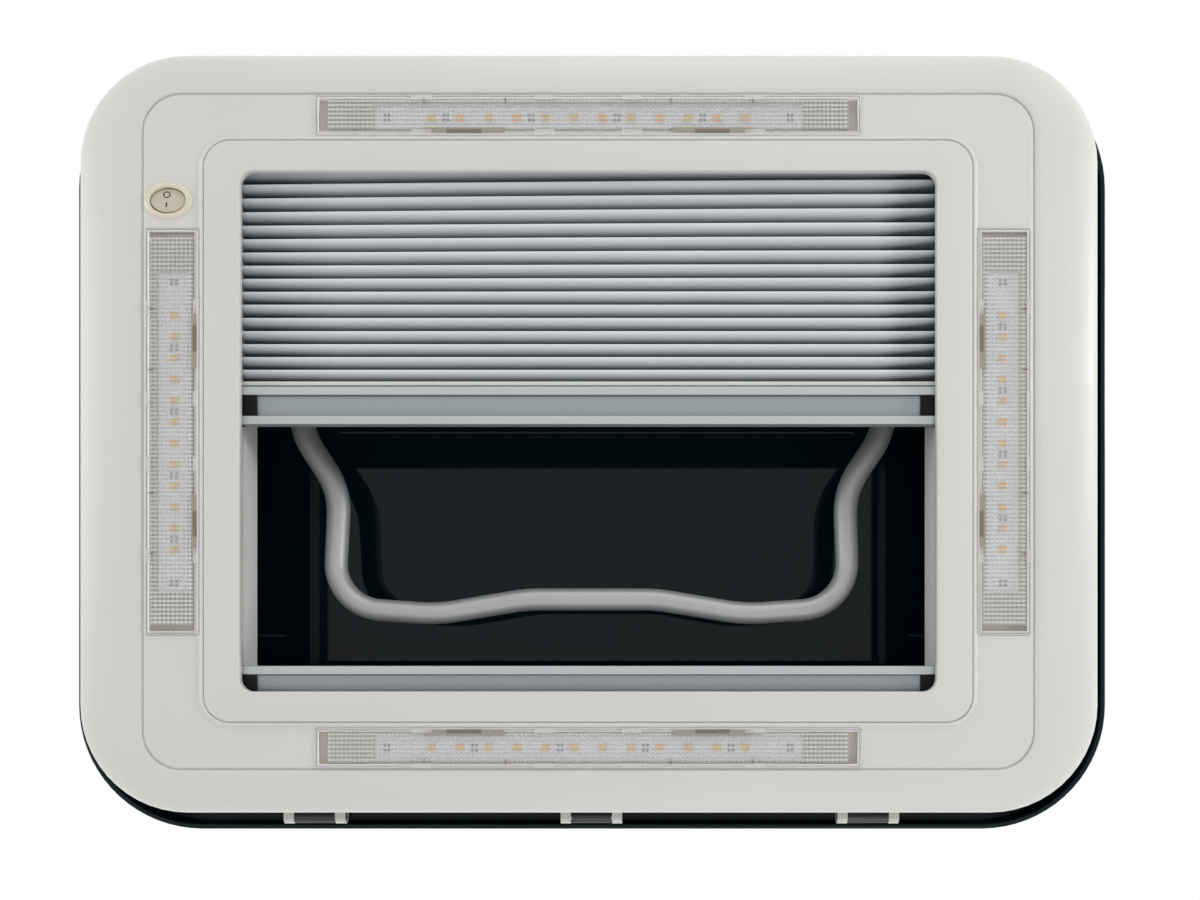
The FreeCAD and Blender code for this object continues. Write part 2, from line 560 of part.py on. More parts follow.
# Dome: a smoked acrylic skin with a curved crown, and inside it a flat pane on sloping walls
# whose foot is bonded to the skirt and rests on the seal.
dome_outer = new_body("dome_outer")
skirt = ("dome_length", "dome_width", "dome_corner")
skirt_inside = grown(skirt, "( 0 - dome_wall )")
skirt_top = "( dome_rim + skirt_height )"
dome_top = f"( {skirt_top} + crown_round )"
block = new_sketch(dome_outer, "dome_outline", at=("0", "0", "dome_rim"))
add_round_rectangle(block, "edge", *skirt)
extrude(dome_outer, "Pad", block, "dome_block", "skirt_height + crown_round")
inside = new_sketch(dome_outer, "hollow_outline", at=("0", "0", "dome_rim"))
add_round_rectangle(inside, "edge", *skirt_inside)
hollow = extrude(dome_outer, "Pocket", inside, "hollow", "skirt_height + crown_round - dome_wall", back=True)
ceiling = soften(dome_outer, hollow, "crown_inside", f"{dome_top} - dome_wall", "crown_round - dome_wall")
soften(dome_outer, ceiling, "crown", dome_top, "crown_round")
dome_inner = new_body("dome_inner")
foot_level = f"( {upstand_top} + seal_height + seal_squeeze )"
pane_outer = grown(upstand_outer, "( 0 - pane_foot )")
pane_inner = grown(pane_outer, "( 0 - pane_wall )")
ring(dome_inner, "pane_foot_ring", foot_level, "pane_wall", grown(skirt_inside, "( 0 - bond_gap )"),
     pane_inner)
for kind, name, base, height in (
    ("Additive", "pane_block", pane_outer, "pane_level + pane_wall"),
    ("Subtractive", "pane_hollow", pane_inner, "pane_level"),
):
    low = new_sketch(dome_inner, f"{name}_low", at=("0", "0", foot_level))
    add_round_rectangle(low, "edge", *base)
    high = new_sketch(dome_inner, f"{name}_high", at=("0", "0", height))
    add_round_rectangle(high, "edge", *grown(base, "( 0 - pane_slope )"))
    loft = dome_inner.newObject(f"PartDesign::{kind}Loft", name)
    loft.Profile = low
    loft.Sections = [high]
    doc.recompute()
nodes += [dome_outer, dome_inner]

# Hinges: a steel pin through each pair of ears, and a dark leaf with a barrel under the dome's foot.
leaf_width = "( ear_spread - ear_thick - 2 * leaf_play )"
skirt_face = "( dome_width / 2 - dome_wall - bond_gap )"
for place, middle in HINGES:
    pin = doc.addObject("Part::Cylinder", f"hinge_pin_{place}")
    pin.Label = f"hinge_pin_{place}"
    pin.setExpression("Radius", sized("hinge_pin"))
    pin.setExpression("Height", sized("ear_spread + ear_thick"))
    pin.Placement.Rotation = FreeCAD.Rotation(FreeCAD.Vector(0, 1, 0), 90)
    pin.setExpression("Placement.Base.x", sized(f"{middle} - ( ear_spread + ear_thick ) / 2"))
    pin.setExpression("Placement.Base.y", sized(hinge_y))
    pin.setExpression("Placement.Base.z", sized("hinge_z + 0"))
    leaf = new_body(f"hinge_leaf_{place}")
    tab = new_sketch(leaf, "tab_outline", plane="YZ_Plane", at=("0", "0", middle))
    inward = f"{skirt_face} - leaf_thick"
    corners = [
        (inward, "hinge_z + 0"), (f"{hinge_y} + barrel_round", "hinge_z + 0"),
        (skirt_face, "dome_rim + 0"), (skirt_face, foot_level), (inward, foot_level),
    ]
    add_polygon(tab, corners)
    extrude(leaf, "Pad", tab, "tab", leaf_width, middle=True)
    tube = new_sketch(leaf, "barrel_outline", plane="YZ_Plane", at=("0", "0", middle))
    add_circle(tube, "barrel_round", hinge_y, "hinge_z")
    extrude(leaf, "Pad", tube, "barrel", leaf_width, middle=True)
    bore = new_sketch(leaf, "bore_outline", plane="YZ_Plane", at=("0", "0", middle))
    add_circle(bore, "hinge_pin + pin_play", hinge_y, "hinge_z")
    extrude(leaf, "Pocket", bore, "bore", f"{leaf_width} + wall", middle=True)
    nodes += [pin, leaf]


def rounded_path(points, bends):
    """A wire of straight runs and tangent arcs through corner points; bends are the inner corners' radii."""
    edges, start = [], points[0]
    for before, corner, after, radius in zip(points, points[1:], points[2:], bends):
        back, on = (before - corner).normalize(), (after - corner).normalize()
        half = math.acos(max(-1.0, min(1.0, back.dot(on)))) / 2
        reach = radius / math.tan(half)
        enter, leave = corner + back * reach, corner + on * reach
        centre = corner + (back + on).normalize() * (radius / math.sin(half))
        crest = centre + (corner - centre).normalize() * radius
        edges.append(Part.makeLine(start, enter))
        edges.append(Part.Arc(enter, crest, leave).toShape())
        start = leave
    edges.append(Part.makeLine(start, points[-1]))
    return Part.Wire(edges)


# Bow: one bent tube, the handle of the dome. Its arms hang from two brackets on the pane,
# narrow at a waist, and carry a grip that waves back in the middle.
arm, waist_x, grip_x, wave_x = (size(f"bow_{word}") for word in ("arm_x", "waist_x", "grip_x", "wave_x"))
tail, shoulder, waist, reach = (size(f"bow_{word}") for word in ("tail", "shoulder", "waist", "reach"))
half_route = [
    (-arm, -tail), (-arm, shoulder), (-waist_x, waist), (-waist_x, reach - size("bow_wave") / 2),
    (-grip_x, reach), (-wave_x, reach - size("bow_wave")),
]
route = [FreeCAD.Vector(x, y, 0) for x, y in half_route]
route += [FreeCAD.Vector(-point.x, point.y, 0) for point in reversed(route)]
half_bends = [size(f"bow_{word}") for word in ("bend", "bend", "elbow", "wave_bend", "wave_bend")]
path = rounded_path(route, half_bends + half_bends[::-1])
section = Part.Wire(Part.makeCircle(size("bow_round"), route[0], FreeCAD.Vector(0, 1, 0)))
tube = path.makePipeShell([section], True, False)
bow_bore = Part.makeCylinder(
    size("bow_pin") + size("pin_play"), 4 * arm, FreeCAD.Vector(-2 * arm, 0, 0), FreeCAD.Vector(1, 0, 0)
)
bow = doc.addObject("Part::Feature", "bow")
bow.Label = "bow"
bow.Shape = tube.cut(bow_bore)
bow.Placement = FreeCAD.Placement(
    FreeCAD.Vector(0, size("bow_pivot_y"), size("bow_pivot_z")),
    FreeCAD.Rotation(FreeCAD.Vector(1, 0, 0), -size("bow_slope")),
)
nodes.append(bow)

# Bow brackets: a foot on the pane with two cheeks, and a steel pin through cheeks and bow.
cheek_middle = "( bow_round + cheek_play + cheek_thick / 2 )"
for side, sign in (("left", "0 -"), ("right", "0 +")):
    arm_x = f"( {sign} bow_arm_x )"
    bracket = new_body(f"bow_bracket_{side}")
    base = new_sketch(bracket, "foot_outline", at=(arm_x, "bow_pivot_y", "pane_level"))
    add_round_rectangle(base, "edge", "bracket_length", "bracket_width", "wall")
    extrude(bracket, "Pad", base, "foot", "bracket_foot", back=True)
    for turn in (-1, 1):
        at = f"{arm_x} + {turn} * {cheek_middle}"
        cheek = new_sketch(bracket, f"cheek{turn + 1}_outline", plane="YZ_Plane", at=("0", "0", at))
        near, far = "bow_pivot_y - cheek_width / 2", "bow_pivot_y + cheek_width / 2"
        top = "pane_level - bracket_foot"
        add_polygon(cheek, [(near, "bow_pivot_z + 0"), (far, "bow_pivot_z + 0"), (far, top), (near, top)])
        extrude(bracket, "Pad", cheek, f"cheek{turn + 1}", "cheek_thick", middle=True)
        nose = new_sketch(bracket, f"nose{turn + 1}_outline", plane="YZ_Plane", at=("0", "0", at))
        add_circle(nose, "cheek_width / 2", "bow_pivot_y", "bow_pivot_z")
        extrude(bracket, "Pad", nose, f"nose{turn + 1}", "cheek_thick", middle=True)
    way = new_sketch(bracket, "bore_outline", plane="YZ_Plane", at=("0", "0", arm_x))
    add_circle(way, "bow_pin + pin_play", "bow_pivot_y", "bow_pivot_z")
    extrude(bracket, "Pocket", way, "bore", "2 * bracket_length", middle=True)
    pin = doc.addObject("Part::Cylinder", f"bow_pin_{side}")
    pin.Label = f"bow_pin_{side}"
    pin.setExpression("Radius", sized("bow_pin"))
    pin.setExpression("Height", sized(f"2 * {cheek_middle} + cheek_thick"))
    pin.Placement.Rotation = FreeCAD.Rotation(FreeCAD.Vector(0, 1, 0), 90)
    pin.setExpression("Placement.Base.x", sized(f"{arm_x} - {cheek_middle} - cheek_thick / 2"))
    pin.setExpression("Placement.Base.y", sized("bow_pivot_y + 0"))
    pin.setExpression("Placement.Base.z", sized("bow_pivot_z + 0"))
    nodes += [bracket, pin]

doc.recompute()
for item in doc.Objects:
    if "Invalid" in item.State or "Error" in item.State:
        raise RuntimeError(f"{item.Name} failed: {item.State}")
for node in nodes:
    if node.Shape.isNull() or not node.Shape.isValid() or not node.Shape.Solids:
        raise RuntimeError(f"{node.Label} has no valid solid")
os.makedirs("parts", exist_ok=True)
for node in nodes:
    node.Shape.exportStep(f"parts/{node.Label}.step")
    box = node.Shape.BoundBox
    print(f"{node.Label}: {len(node.Shape.Solids)} solid, {node.Shape.Volume / 1000:.1f} cm3, "
          f"z {box.ZMin:.1f} to {box.ZMax:.1f}")
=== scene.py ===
"""Looks of the camper roof hatch, seen from the room below; lengths are in millimetres up to the meshes."""
import math

import bpy
import numpy as np
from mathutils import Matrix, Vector


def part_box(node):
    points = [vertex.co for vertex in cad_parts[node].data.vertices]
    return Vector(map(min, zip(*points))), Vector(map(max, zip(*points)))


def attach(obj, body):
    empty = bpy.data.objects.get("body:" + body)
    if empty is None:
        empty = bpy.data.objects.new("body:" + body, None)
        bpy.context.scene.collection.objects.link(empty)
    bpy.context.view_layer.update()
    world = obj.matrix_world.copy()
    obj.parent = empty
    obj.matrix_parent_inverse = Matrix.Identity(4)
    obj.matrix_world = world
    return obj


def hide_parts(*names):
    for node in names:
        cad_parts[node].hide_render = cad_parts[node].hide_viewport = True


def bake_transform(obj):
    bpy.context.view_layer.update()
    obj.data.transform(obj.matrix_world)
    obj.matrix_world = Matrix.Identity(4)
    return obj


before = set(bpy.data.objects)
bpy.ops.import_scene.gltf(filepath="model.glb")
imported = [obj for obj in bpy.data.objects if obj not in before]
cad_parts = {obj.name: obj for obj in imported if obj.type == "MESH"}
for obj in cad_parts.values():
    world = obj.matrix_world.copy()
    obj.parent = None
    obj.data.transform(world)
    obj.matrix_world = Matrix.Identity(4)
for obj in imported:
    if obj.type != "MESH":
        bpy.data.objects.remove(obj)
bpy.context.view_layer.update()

# Inner frame: one off-white plastic moulding on the ceiling, with a convex rim, a groove, the lamp
# panel, a fine bead and the flat band round the window. It is held by its collar in the neck.
MM = 0.001
RIM = dict(half=(386.5, 287.5), corner=82.0, inset=(51.0, 33.0), corner_loss=52.0, base=14.0, drop=12.0)
RIM_BACK = 17.0
PANEL_LEVEL = 2.0
STEP_HALF = (290.0, 220.0)
STEP_CORNER = 22.0
WINDOW_HALF = (261.0, 195.0)
WINDOW_CORNER = 10.0
PLATE_BACK = 5.0
LIP_BACK = 6.5
COLLAR_HALF = (343.7, 243.7)
COLLAR_CORNER = 26.7
COLLAR_TOP = 29.0
COLLAR_ROOM = 4.0
WALL = 3.0
FRAME_WHITE = (0.640, 0.632, 0.607)


def make_piece(name, points, faces, finish, smooth=40.0):
    """An object of points (millimetres) and faces in one finish; edges under the angle smooth are soft."""
    mesh = bpy.data.meshes.new(name)
    faces = faces.tolist() if isinstance(faces, np.ndarray) else faces
    mesh.from_pydata(np.asarray(points, float).reshape(-1, 3) * MM, [], faces)
    mesh.polygons.foreach_set("use_smooth", np.ones(len(mesh.polygons), bool))
    mesh.set_sharp_from_angle(angle=math.radians(smooth))
    mesh.materials.append(finish)
    piece = bpy.data.objects.new(name, mesh)
    bpy.context.scene.collection.objects.link(piece)
    return piece


def add_piece(name, points, faces, body, finish, replaces=(), smooth=40.0):
    """A made piece that rides on a body and may stand for CAD nodes."""
    piece = make_piece(name, points, faces, finish, smooth)
    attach(piece, body)
    if replaces:
        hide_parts(*replaces)
    return piece


def grid_faces(rows, columns, close_rows=False, close_columns=True, first=0):
    """Quads of a grid whose points run along each row in turn; either direction may close on itself."""
    i = np.arange(rows if close_rows else rows - 1)[:, None]
    j = np.arange(columns if close_columns else columns - 1)[None, :]
    i_next, j_next = (i + 1) % rows, (j + 1) % columns
    corners = [i * columns + j, i * columns + j_next, i_next * columns + j_next, i_next * columns + j]
    return first + np.stack(np.broadcast_arrays(*corners), -1).reshape(-1, 4)


def ring_rows(stations, steps=14):
    """Round rectangles through stations (half length, half width, corner, level).

    Each point is its corner's centre plus the corner's radius times (cos, sin) of the turn.
    """
    turn = np.radians(np.linspace(0, 90, steps))
    turns = np.concatenate([turn + quarter * math.pi / 2 for quarter in range(4)])
    signs = np.repeat(np.array([[1, 1], [-1, 1], [-1, -1], [1, -1]]), steps, axis=0)
    half_x, half_y, corner, level = (column[:, None] for column in np.array(stations, float).T)
    x = signs[:, 0] * (half_x - corner) + corner * np.cos(turns)
    y = signs[:, 1] * (half_y - corner) + corner * np.sin(turns)
    return np.stack([x, y, np.broadcast_to(level, x.shape)], -1)


def offset_stations(half, corner, profile, least=0.6):
    """Stations that keep one distance from an edge: (inset, level) pairs round half and corner."""
    return [(half[0] - inset, half[1] - inset, max(corner - inset, least), level) for inset, level in profile]


def quarter_round(count):
    """The run 1 - cos and the rise sin of a quarter turn, at even steps of its angle."""
    turn = np.radians(np.linspace(0, 90, count))
    return 1 - np.cos(turn), np.sin(turn)


class Value:
    """A socket of a node tree; arithmetic on it adds Math nodes."""

    def __init__(self, tree, socket):
        self.tree, self.socket = tree, socket

    def math(self, operation, *others):
        """Any other operation of the Math node, by its name."""
        return self.tree.node("ShaderNodeMath", {"operation": operation}, 0, self, *others)

    def __add__(self, other):
        return self.math("ADD", other)

    def __sub__(self, other):
        return self.math("SUBTRACT", other)

    def __rsub__(self, other):
        return (self * -1.0) + other

    def __mul__(self, other):
        return self.math("MULTIPLY", other)

    def __truediv__(self, other):
        return self.math("DIVIDE", other)

    def __abs__(self):
        return self.math("ABSOLUTE")

    __radd__ = __add__
    __rmul__ = __mul__


class Nodes:
    """A node tree that hands out its sockets as values."""

    def __init__(self, tree):
        self.tree = tree

    def node(self, kind, settings, output, *values, **named):
        """Adds a node with its settings, feeds its sockets in order or by name, and returns an output."""
        node = self.tree.nodes.new(kind)
        for word, value in settings.items():
            setattr(node, word, value)
        fed = list(enumerate(values)) + [(word.replace("_", " "), value) for word, value in named.items()]
        for place, value in fed:
            if isinstance(value, Value):
                self.tree.links.new(value.socket, node.inputs[place])
            elif value is not None:
                node.inputs[place].default_value = value
        return Value(self, node.outputs[output])

    def axes(self, kind, output):
        """The three numbers of a node's vector."""
        split = self.node("ShaderNodeSeparateXYZ", {}, 0, self.node(kind, {}, output)).socket.node
        return [Value(self, axis) for axis in split.outputs]


class Look(Nodes):
    """A material round one Principled shader: plain values go on its sockets, patterns are linked."""

    def __init__(self, name, **plain):
        self.material = bpy.data.materials.new(name)
        self.material.use_nodes = True
        super().__init__(self.material.node_tree)
        self.shader = self.tree.nodes["Principled BSDF"]
        for word, value in plain.items():
            colour = isinstance(value, tuple) and len(value) == 3
            self.shader.inputs[word.replace("_", " ")].default_value = (*value, 1.0) if colour else value

    def place(self):
        """Object coordinates as three numbers, in millimetres."""
        return [axis * 1000.0 for axis in self.axes("ShaderNodeTexCoord", "Object")]

    def normal(self):
        """The surface's normal as three numbers."""
        return self.axes("ShaderNodeNewGeometry", "Normal")

    def stored(self, name):
        """A number that the piece keeps at each of its points."""
        return self.node("ShaderNodeAttribute", {"attribute_name": name}, "Fac")

    def noise(self, per_mm, detail=2.0, stretch=(1, 1, 1)):
        """Noise of about -1 to 1 with a number of waves per millimetre."""
        where = self.node("ShaderNodeTexCoord", {}, "Object")
        scaled = self.node("ShaderNodeMapping", {}, 0, where, Scale=stretch)
        wave = self.node("ShaderNodeTexNoise", {}, 0, Vector=scaled, Scale=1000.0 * per_mm, Detail=detail)
        return (wave - 0.5) * 2.0

    def drift(self, *waves):
        """The same noise, of about 0 to 1."""
        return self.noise(*waves) * 0.5 + 0.5

    def mix(self, low, high, amount):
        """A colour between two colours, clamped at both."""
        low, high = (colour if isinstance(colour, Value) else (*colour, 1.0) for colour in (low, high))
        skipped = [None] * 5
        settings = {"data_type": "RGBA", "clamp_factor": True}
        return self.node("ShaderNodeMix", settings, 2, amount, *skipped, low, high)

    def feed(self, word, value):
        """Links a value to a socket of the shader."""
        self.tree.links.new(value.socket, self.shader.inputs[word])

    def bump(self, height, depth_mm):
        """Bumps the surface by a height of about -1 to 1 times depth_mm."""
        deep = depth_mm * MM
        self.feed("Normal", self.node("ShaderNodeBump", {}, 0, Strength=1.0, Distance=deep, Height=height))


def moulded(name, colour, grain=0.02, per_mm=1.6, tint=0.03, **plain):
    """Moulded plastic: a fine spark-eroded grain, a slow drift of tone and of gloss."""
    look = Look(name, **plain)
    dark = tuple(c * (1 - tint) for c in colour)
    light = tuple(min(1.0, c * (1 + tint)) for c in colour)
    look.feed("Base Color", look.mix(dark, light, look.drift(0.012, 3.0)))
    look.feed("Roughness", look.noise(0.05, 3.0) * 0.05 + plain["Roughness"])
    look.bump(look.noise(per_mm, 3.0), grain)
    return look.material


frame_finish = moulded("frame_white", FRAME_WHITE, Roughness=0.42, Specular_IOR_Level=0.4)
run, rise = quarter_round(16)
crown = np.stack([
    RIM["half"][0] - RIM["inset"][0] * run, RIM["half"][1] - RIM["inset"][1] * run,
    RIM["corner"] - RIM["corner_loss"] * run, RIM["base"] - RIM["drop"] * rise,
], -1)
crown_half, crown_corner = crown[-1][:2], crown[-1][2]
GROOVE = [(0.25, 2.12), (0.4, 2.5), (0.5, 3.5), (1.8, 3.5), (2.0, 2.7), (2.5, 2.25), (3.2, 2.04),
          (4.0, PANEL_LEVEL)]
BEAD = [(-2.4, PANEL_LEVEL), (-1.5, 1.9), (-0.9, 1.5), (-0.4, 0.75), (0.1, 0.42), (0.7, 0.34), (1.3, 0.42),
        (1.6, 0.75), (1.75, 1.7), (2.45, 1.7), (2.65, 0.5), (3.0, 0.14), (3.6, 0.0)]
WINDOW_EDGE = [(-1.1, 0.0), (-0.6, 0.03), (-0.25, 0.15), (-0.06, 0.4), (0.0, 0.8), (0.0, LIP_BACK - 0.4),
               (-0.4, LIP_BACK), (-WALL, LIP_BACK), (-WALL, PLATE_BACK)]
COLLAR = [(WALL, PLATE_BACK), (WALL, COLLAR_TOP), (0.0, COLLAR_TOP), (0.0, PLATE_BACK)]
stations = [tuple(station) for station in crown]
stations += offset_stations(crown_half, crown_corner, GROOVE)
stations += offset_stations(STEP_HALF, STEP_CORNER, BEAD)
stations += offset_stations(WINDOW_HALF, WINDOW_CORNER, WINDOW_EDGE)
stations += offset_stations(COLLAR_HALF, COLLAR_CORNER, COLLAR)
stations += [(x - WALL, y - WALL, corner - WALL, z + WALL) for x, y, corner, z in crown[::-2]
             if x - WALL > COLLAR_HALF[0] + COLLAR_ROOM]
stations += offset_stations(RIM["half"], RIM["corner"], [(WALL, RIM_BACK), (0.0, RIM_BACK)])
rows = ring_rows(stations)
faces = grid_faces(len(rows), rows.shape[1], close_rows=True)[:, ::-1]
inner_frame = add_piece("inner_frame_moulding", rows, faces, "frame", frame_finish,
                        ["inner_frame"], smooth=55)

# Lamp pockets and switch hole: straight recesses in the lamp panel of the inner frame, moulded in
# from the room, each with a little play round the piece that clips into it.
LAMP_DEPTH = 8.0
LAMP_PLAY = 0.3
LAMP_CORNER = 2.0
LAMPS = {
    "front": dict(middle=(0.0, -237.2), half=(204.5, 14.8), chip_shift=-0.5),
    "rear": dict(middle=(0.0, 237.2), half=(204.5, 14.8), chip_shift=0.5),
    "left": dict(middle=(-312.0, 0.0), half=(19.8, 152.5), chip_shift=0.5),
    "right": dict(middle=(312.0, 0.0), half=(19.8, 152.5), chip_shift=-0.5),
}
SWITCH = dict(middle=(-315.0, -173.0), bezel=(18.0, 13.75), rocker=(13.0, 9.3), play=0.7)
SWITCH_HOLE = dict(gap=2.1, top=12.0, steps=48)
TOOL_FOOT = -3.0


def ovals(stations, middle, steps=64):
    """Ellipses (a cos, b sin) round a middle through stations (half length a, half width b, level)."""
    a, b, level = (column[:, None] for column in np.array(stations, float).T)
    turn = np.linspace(0, 2 * math.pi, steps, endpoint=False)
    x, y = middle[0] + a * np.cos(turn), middle[1] + b * np.sin(turn)
    return np.stack([x, y, np.broadcast_to(level, x.shape)], -1)


def closed_stack(rows):
    """Faces of a stack of rings with both ends closed by one face each."""
    count = rows.shape[1]
    last = (len(rows) - 1) * count
    ends = [list(range(count))[::-1], list(range(last, last + count))]
    return grid_faces(len(rows), count).tolist() + ends


def cut(piece, tools, smooth):
    """Takes closed stacks of rings out of a piece's mesh."""
    points, faces, first = [], [], 0
    for rows in tools:
        points.append(rows.reshape(-1, 3))
        faces += [[first + corner for corner in face] for face in closed_stack(rows)]
        first += rows.shape[0] * rows.shape[1]
    tool = make_piece("tool", np.concatenate(points), faces, frame_finish)
    taken = piece.modifiers.new("cut", "BOOLEAN")
    taken.operation, taken.solver, taken.object = "DIFFERENCE", "EXACT", tool
    bpy.context.view_layer.update()
    done = bpy.data.meshes.new_from_object(piece.evaluated_get(bpy.context.evaluated_depsgraph_get()))
    piece.modifiers.clear()
    piece.data = done
    tool_mesh = tool.data
    bpy.data.objects.remove(tool)
    bpy.data.meshes.remove(tool_mesh)
    done.set_sharp_from_angle(angle=math.radians(smooth))


tools = []
for lamp in LAMPS.values():
    half = [h + LAMP_PLAY for h in lamp["half"]]
    rows = ring_rows([(*half, LAMP_CORNER, level) for level in (TOOL_FOOT, LAMP_DEPTH)], steps=5)
    tools.append(rows + np.array([*lamp["middle"], 0.0]))
half = [h + SWITCH["play"] + SWITCH_HOLE["gap"] for h in SWITCH["rocker"]]
levels = (TOOL_FOOT, SWITCH_HOLE["top"])
tools.append(ovals([(*half, level) for level in levels], SWITCH["middle"], SWITCH_HOLE["steps"]))
cut(inner_frame, tools, smooth=50)

# Lamps: clear moulded covers with a field of small pyramids, clipped into their pockets, over a white
# board with warm LEDs and groups of dark resistors. Notches for the blade that lifts a cover out show
# the brown pocket at its edge next to the window, as boxes in that brown with painted shade, each with a
# darker box of painted shadow in its gap. The pyramids carry a painted highlight or painted shade.
COVER_FACE = 0.6
COVER_EDGE = 1.4
COVER_PROFILE = [(0.0, LAMP_DEPTH), (0.0, COVER_FACE + 0.9), (0.35, COVER_FACE + 0.3), (0.95, COVER_FACE),
                 (2.0, COVER_FACE), (2.4, COVER_FACE + 0.3), (2.7, COVER_FACE + 1.2),
                 (COVER_EDGE, COVER_FACE + 1.4), (COVER_EDGE, LAMP_DEPTH)]
PRISM = dict(pitch=3.2, height=0.9, foot=COVER_FACE + 1.1, end_strip=9.5, side_strip=3.6)
LENS = dict(front=COVER_FACE + 1.9, thick=0.6)
CATCH = dict(shares=(-0.61, -0.16, 0.16, 0.61), inset=1.9, level=COVER_FACE + 0.05, half=(7.5, 1.5, 0.35))
NOTCH = dict(at=93.0, inset=2.7, level=COVER_FACE + 0.7, low=(30.0, 2.3, 0.72), high=(30.0, 1.8, 0.7))
WEDGE_SHADOW = dict(low=(13.0, 1.0, 0.8), high=(13.0, 2.0, 0.6))
COVER_SEAM = dict(at=(-123.0, -62.0, 62.0, 123.0), inset=4.2, level=COVER_FACE + 0.6, half=(0.35, 2.2, 0.3))
BOARD = dict(level=6.8, long=161.0, wide_share=0.62)
POCKET_FLOOR = dict(gap=0.3, thick=0.15)
LED = dict(count=12, pitch=21.5, half=(3.4, 3.0), rise=0.9, spot_share=0.9, spot_rise=0.1)
CHIP = dict(groups=4, every=3, end_inset=9.0, half=(0.8, 1.0), rise=0.6)
CHIP_SPREAD = np.array([(-1.5, -2.2, BOARD["level"]), (1.5, -2.2, BOARD["level"]),
                        (-1.5, 1.6, BOARD["level"]), (1.5, 1.6, BOARD["level"])])
LONGEST_LAMP = 204.5


def clear_plastic(name, alpha):
    """Clear plastic that hides a share of what is behind it, and more where it slopes from the level."""
    look = Look(name, Base_Color=(0.92, 0.91, 0.885), IOR=1.49, Specular_IOR_Level=0.5)
    look.feed("Roughness", look.noise(0.08, 2.0) * 0.04 + 0.14)
    level = look.normal()[2]
    look.feed("Alpha", (1.0 - level * level) * 0.7 + alpha)
    return look.material


def prismatic(name):
    """Clear pyramids: each side hides more the steeper it leans, and its colour is a painted highlight or
    painted shade by the way it leans.

    Both are weaker over the bright board than over the pocket's floor.
    """
    look = Look(name)
    look.feed("Roughness", look.noise(0.2, 2.0) * 0.04 + 0.18)
    lean_x, lean_y = look.normal()[:2]
    over_board = look.stored("over_board")
    # Painted highlight and painted shade: sides that face -Y and -X are near white, sides that face +Y and +X
    # near dark grey.
    facet_painted_light = lean_y * 0.9 + lean_x * 0.5 + 0.36
    tone = look.mix((1.0, 1.0, 0.99), (0.19, 0.175, 0.155), facet_painted_light * (1.0 - over_board * 0.42))
    look.feed("Base Color", tone)
    hidden = abs(lean_y) * 1.25 + abs(lean_x) * 0.5 + 0.03
    look.feed("Alpha", hidden * (1.0 - over_board * 0.34))
    return look.material


cover_finish, lens_finish = clear_plastic("lamp_clear", 0.34), clear_plastic("lamp_plate", 0.02)
prism_finish = prismatic("lamp_prisms")
board_finish = moulded("light_board", (0.95, 0.98, 1.0), grain=0.01, per_mm=0.8, Roughness=0.35)
floor_finish = moulded("lamp_pocket", (0.58, 0.55, 0.48), grain=0.02, Roughness=0.6)
led_finish = moulded("led_phosphor", (1.0, 0.56, 0.13), grain=0.01, per_mm=2.0, Roughness=0.3)
led_case_finish = moulded("led_case", (0.80, 0.78, 0.72), grain=0.01, per_mm=2.0, Roughness=0.35)
# The notch finish is the pocket's brown darkened as painted shade; the wedge finish is a near black brown of
# painted shadow, also used for the cover's dark seams.
notch_shaded_pocket_finish = moulded("lamp_notch_shaded_pocket", (0.30, 0.268, 0.225), grain=0.02, Roughness=0.5)
wedge_shadow_and_seam_finish = moulded("lamp_wedge_shadow_and_seam", (0.17, 0.14, 0.11), grain=0.02, Roughness=0.5)
chip_finish = moulded("resistor", (0.05, 0.055, 0.065), grain=0.01, per_mm=2.0, Roughness=0.4)


def boxes(lows, highs):
    """Many boxes as one set of points and faces, from arrays of low and high corners."""
    lows, highs = np.asarray(lows, float), np.asarray(highs, float)
    pick = np.array([[x, y, z] for z in (0, 1) for x, y in ((0, 0), (1, 0), (1, 1), (0, 1))])
    points = lows[:, None, :] * (1 - pick) + highs[:, None, :] * pick
    one = np.array([[3, 2, 1, 0], [4, 5, 6, 7], [0, 1, 5, 4], [1, 2, 6, 5], [2, 3, 7, 6], [3, 0, 4, 7]])
    return points, (np.arange(len(lows))[:, None, None] * 8 + one).reshape(-1, 4)


def sheet_faces(rows, columns):
    """Faces of a thin sheet: a grid turned over, the same grid behind it and the walls along its edges."""
    count = rows * columns
    face = grid_faces(rows, columns, close_columns=False)
    around = np.concatenate([
        np.arange(columns), np.arange(1, rows) * columns + columns - 1,
        (rows - 1) * columns + np.arange(columns - 2, -1, -1), np.arange(rows - 2, 0, -1) * columns,
    ])
    walls = np.stack([around, np.roll(around, -1), np.roll(around, -1) + count, around + count], -1)
    return np.concatenate([face[:, ::-1], face + count, walls])


def store(piece, name, values):
    """Keeps one number at each point of a piece, for its finish to read."""
    held = piece.data.attributes.new(name, "FLOAT", "POINT")
    held.data.foreach_set("value", np.asarray(values, float).ravel())


def lamp_piece(side, name, points, faces, finish, replaces=(), smooth=40.0):
    """A piece of (along, across, level) points round a lamp's middle, turned to the lamp's side.

    Across points to the window, and the faces turn round where that makes a mirror image.
    """
    (x, y), half = LAMPS[side]["middle"], LAMPS[side]["half"]
    along, across, level = np.asarray(points, float).reshape(-1, 3).T
    if half[0] > half[1]:
        mirrored = y > 0
        points = np.stack([x + along, y - math.copysign(1, y) * across, level], -1)
    else:
        mirrored = x < 0
        points = np.stack([x - math.copysign(1, x) * across, y + along, level], -1)
    faces = faces[:, ::-1] if mirrored else faces
    return add_piece(name, points, faces, "frame", finish, replaces, smooth)


def lamp_boxes(side, name, places, low, high, finish, replaces=()):
    """A lamp's piece of boxes, each from its place minus low to its place plus high."""
    points, faces = boxes(np.asarray(places, float) - low, np.asarray(places, float) + high)
    lamp_piece(side, name, points, faces, finish, replaces)


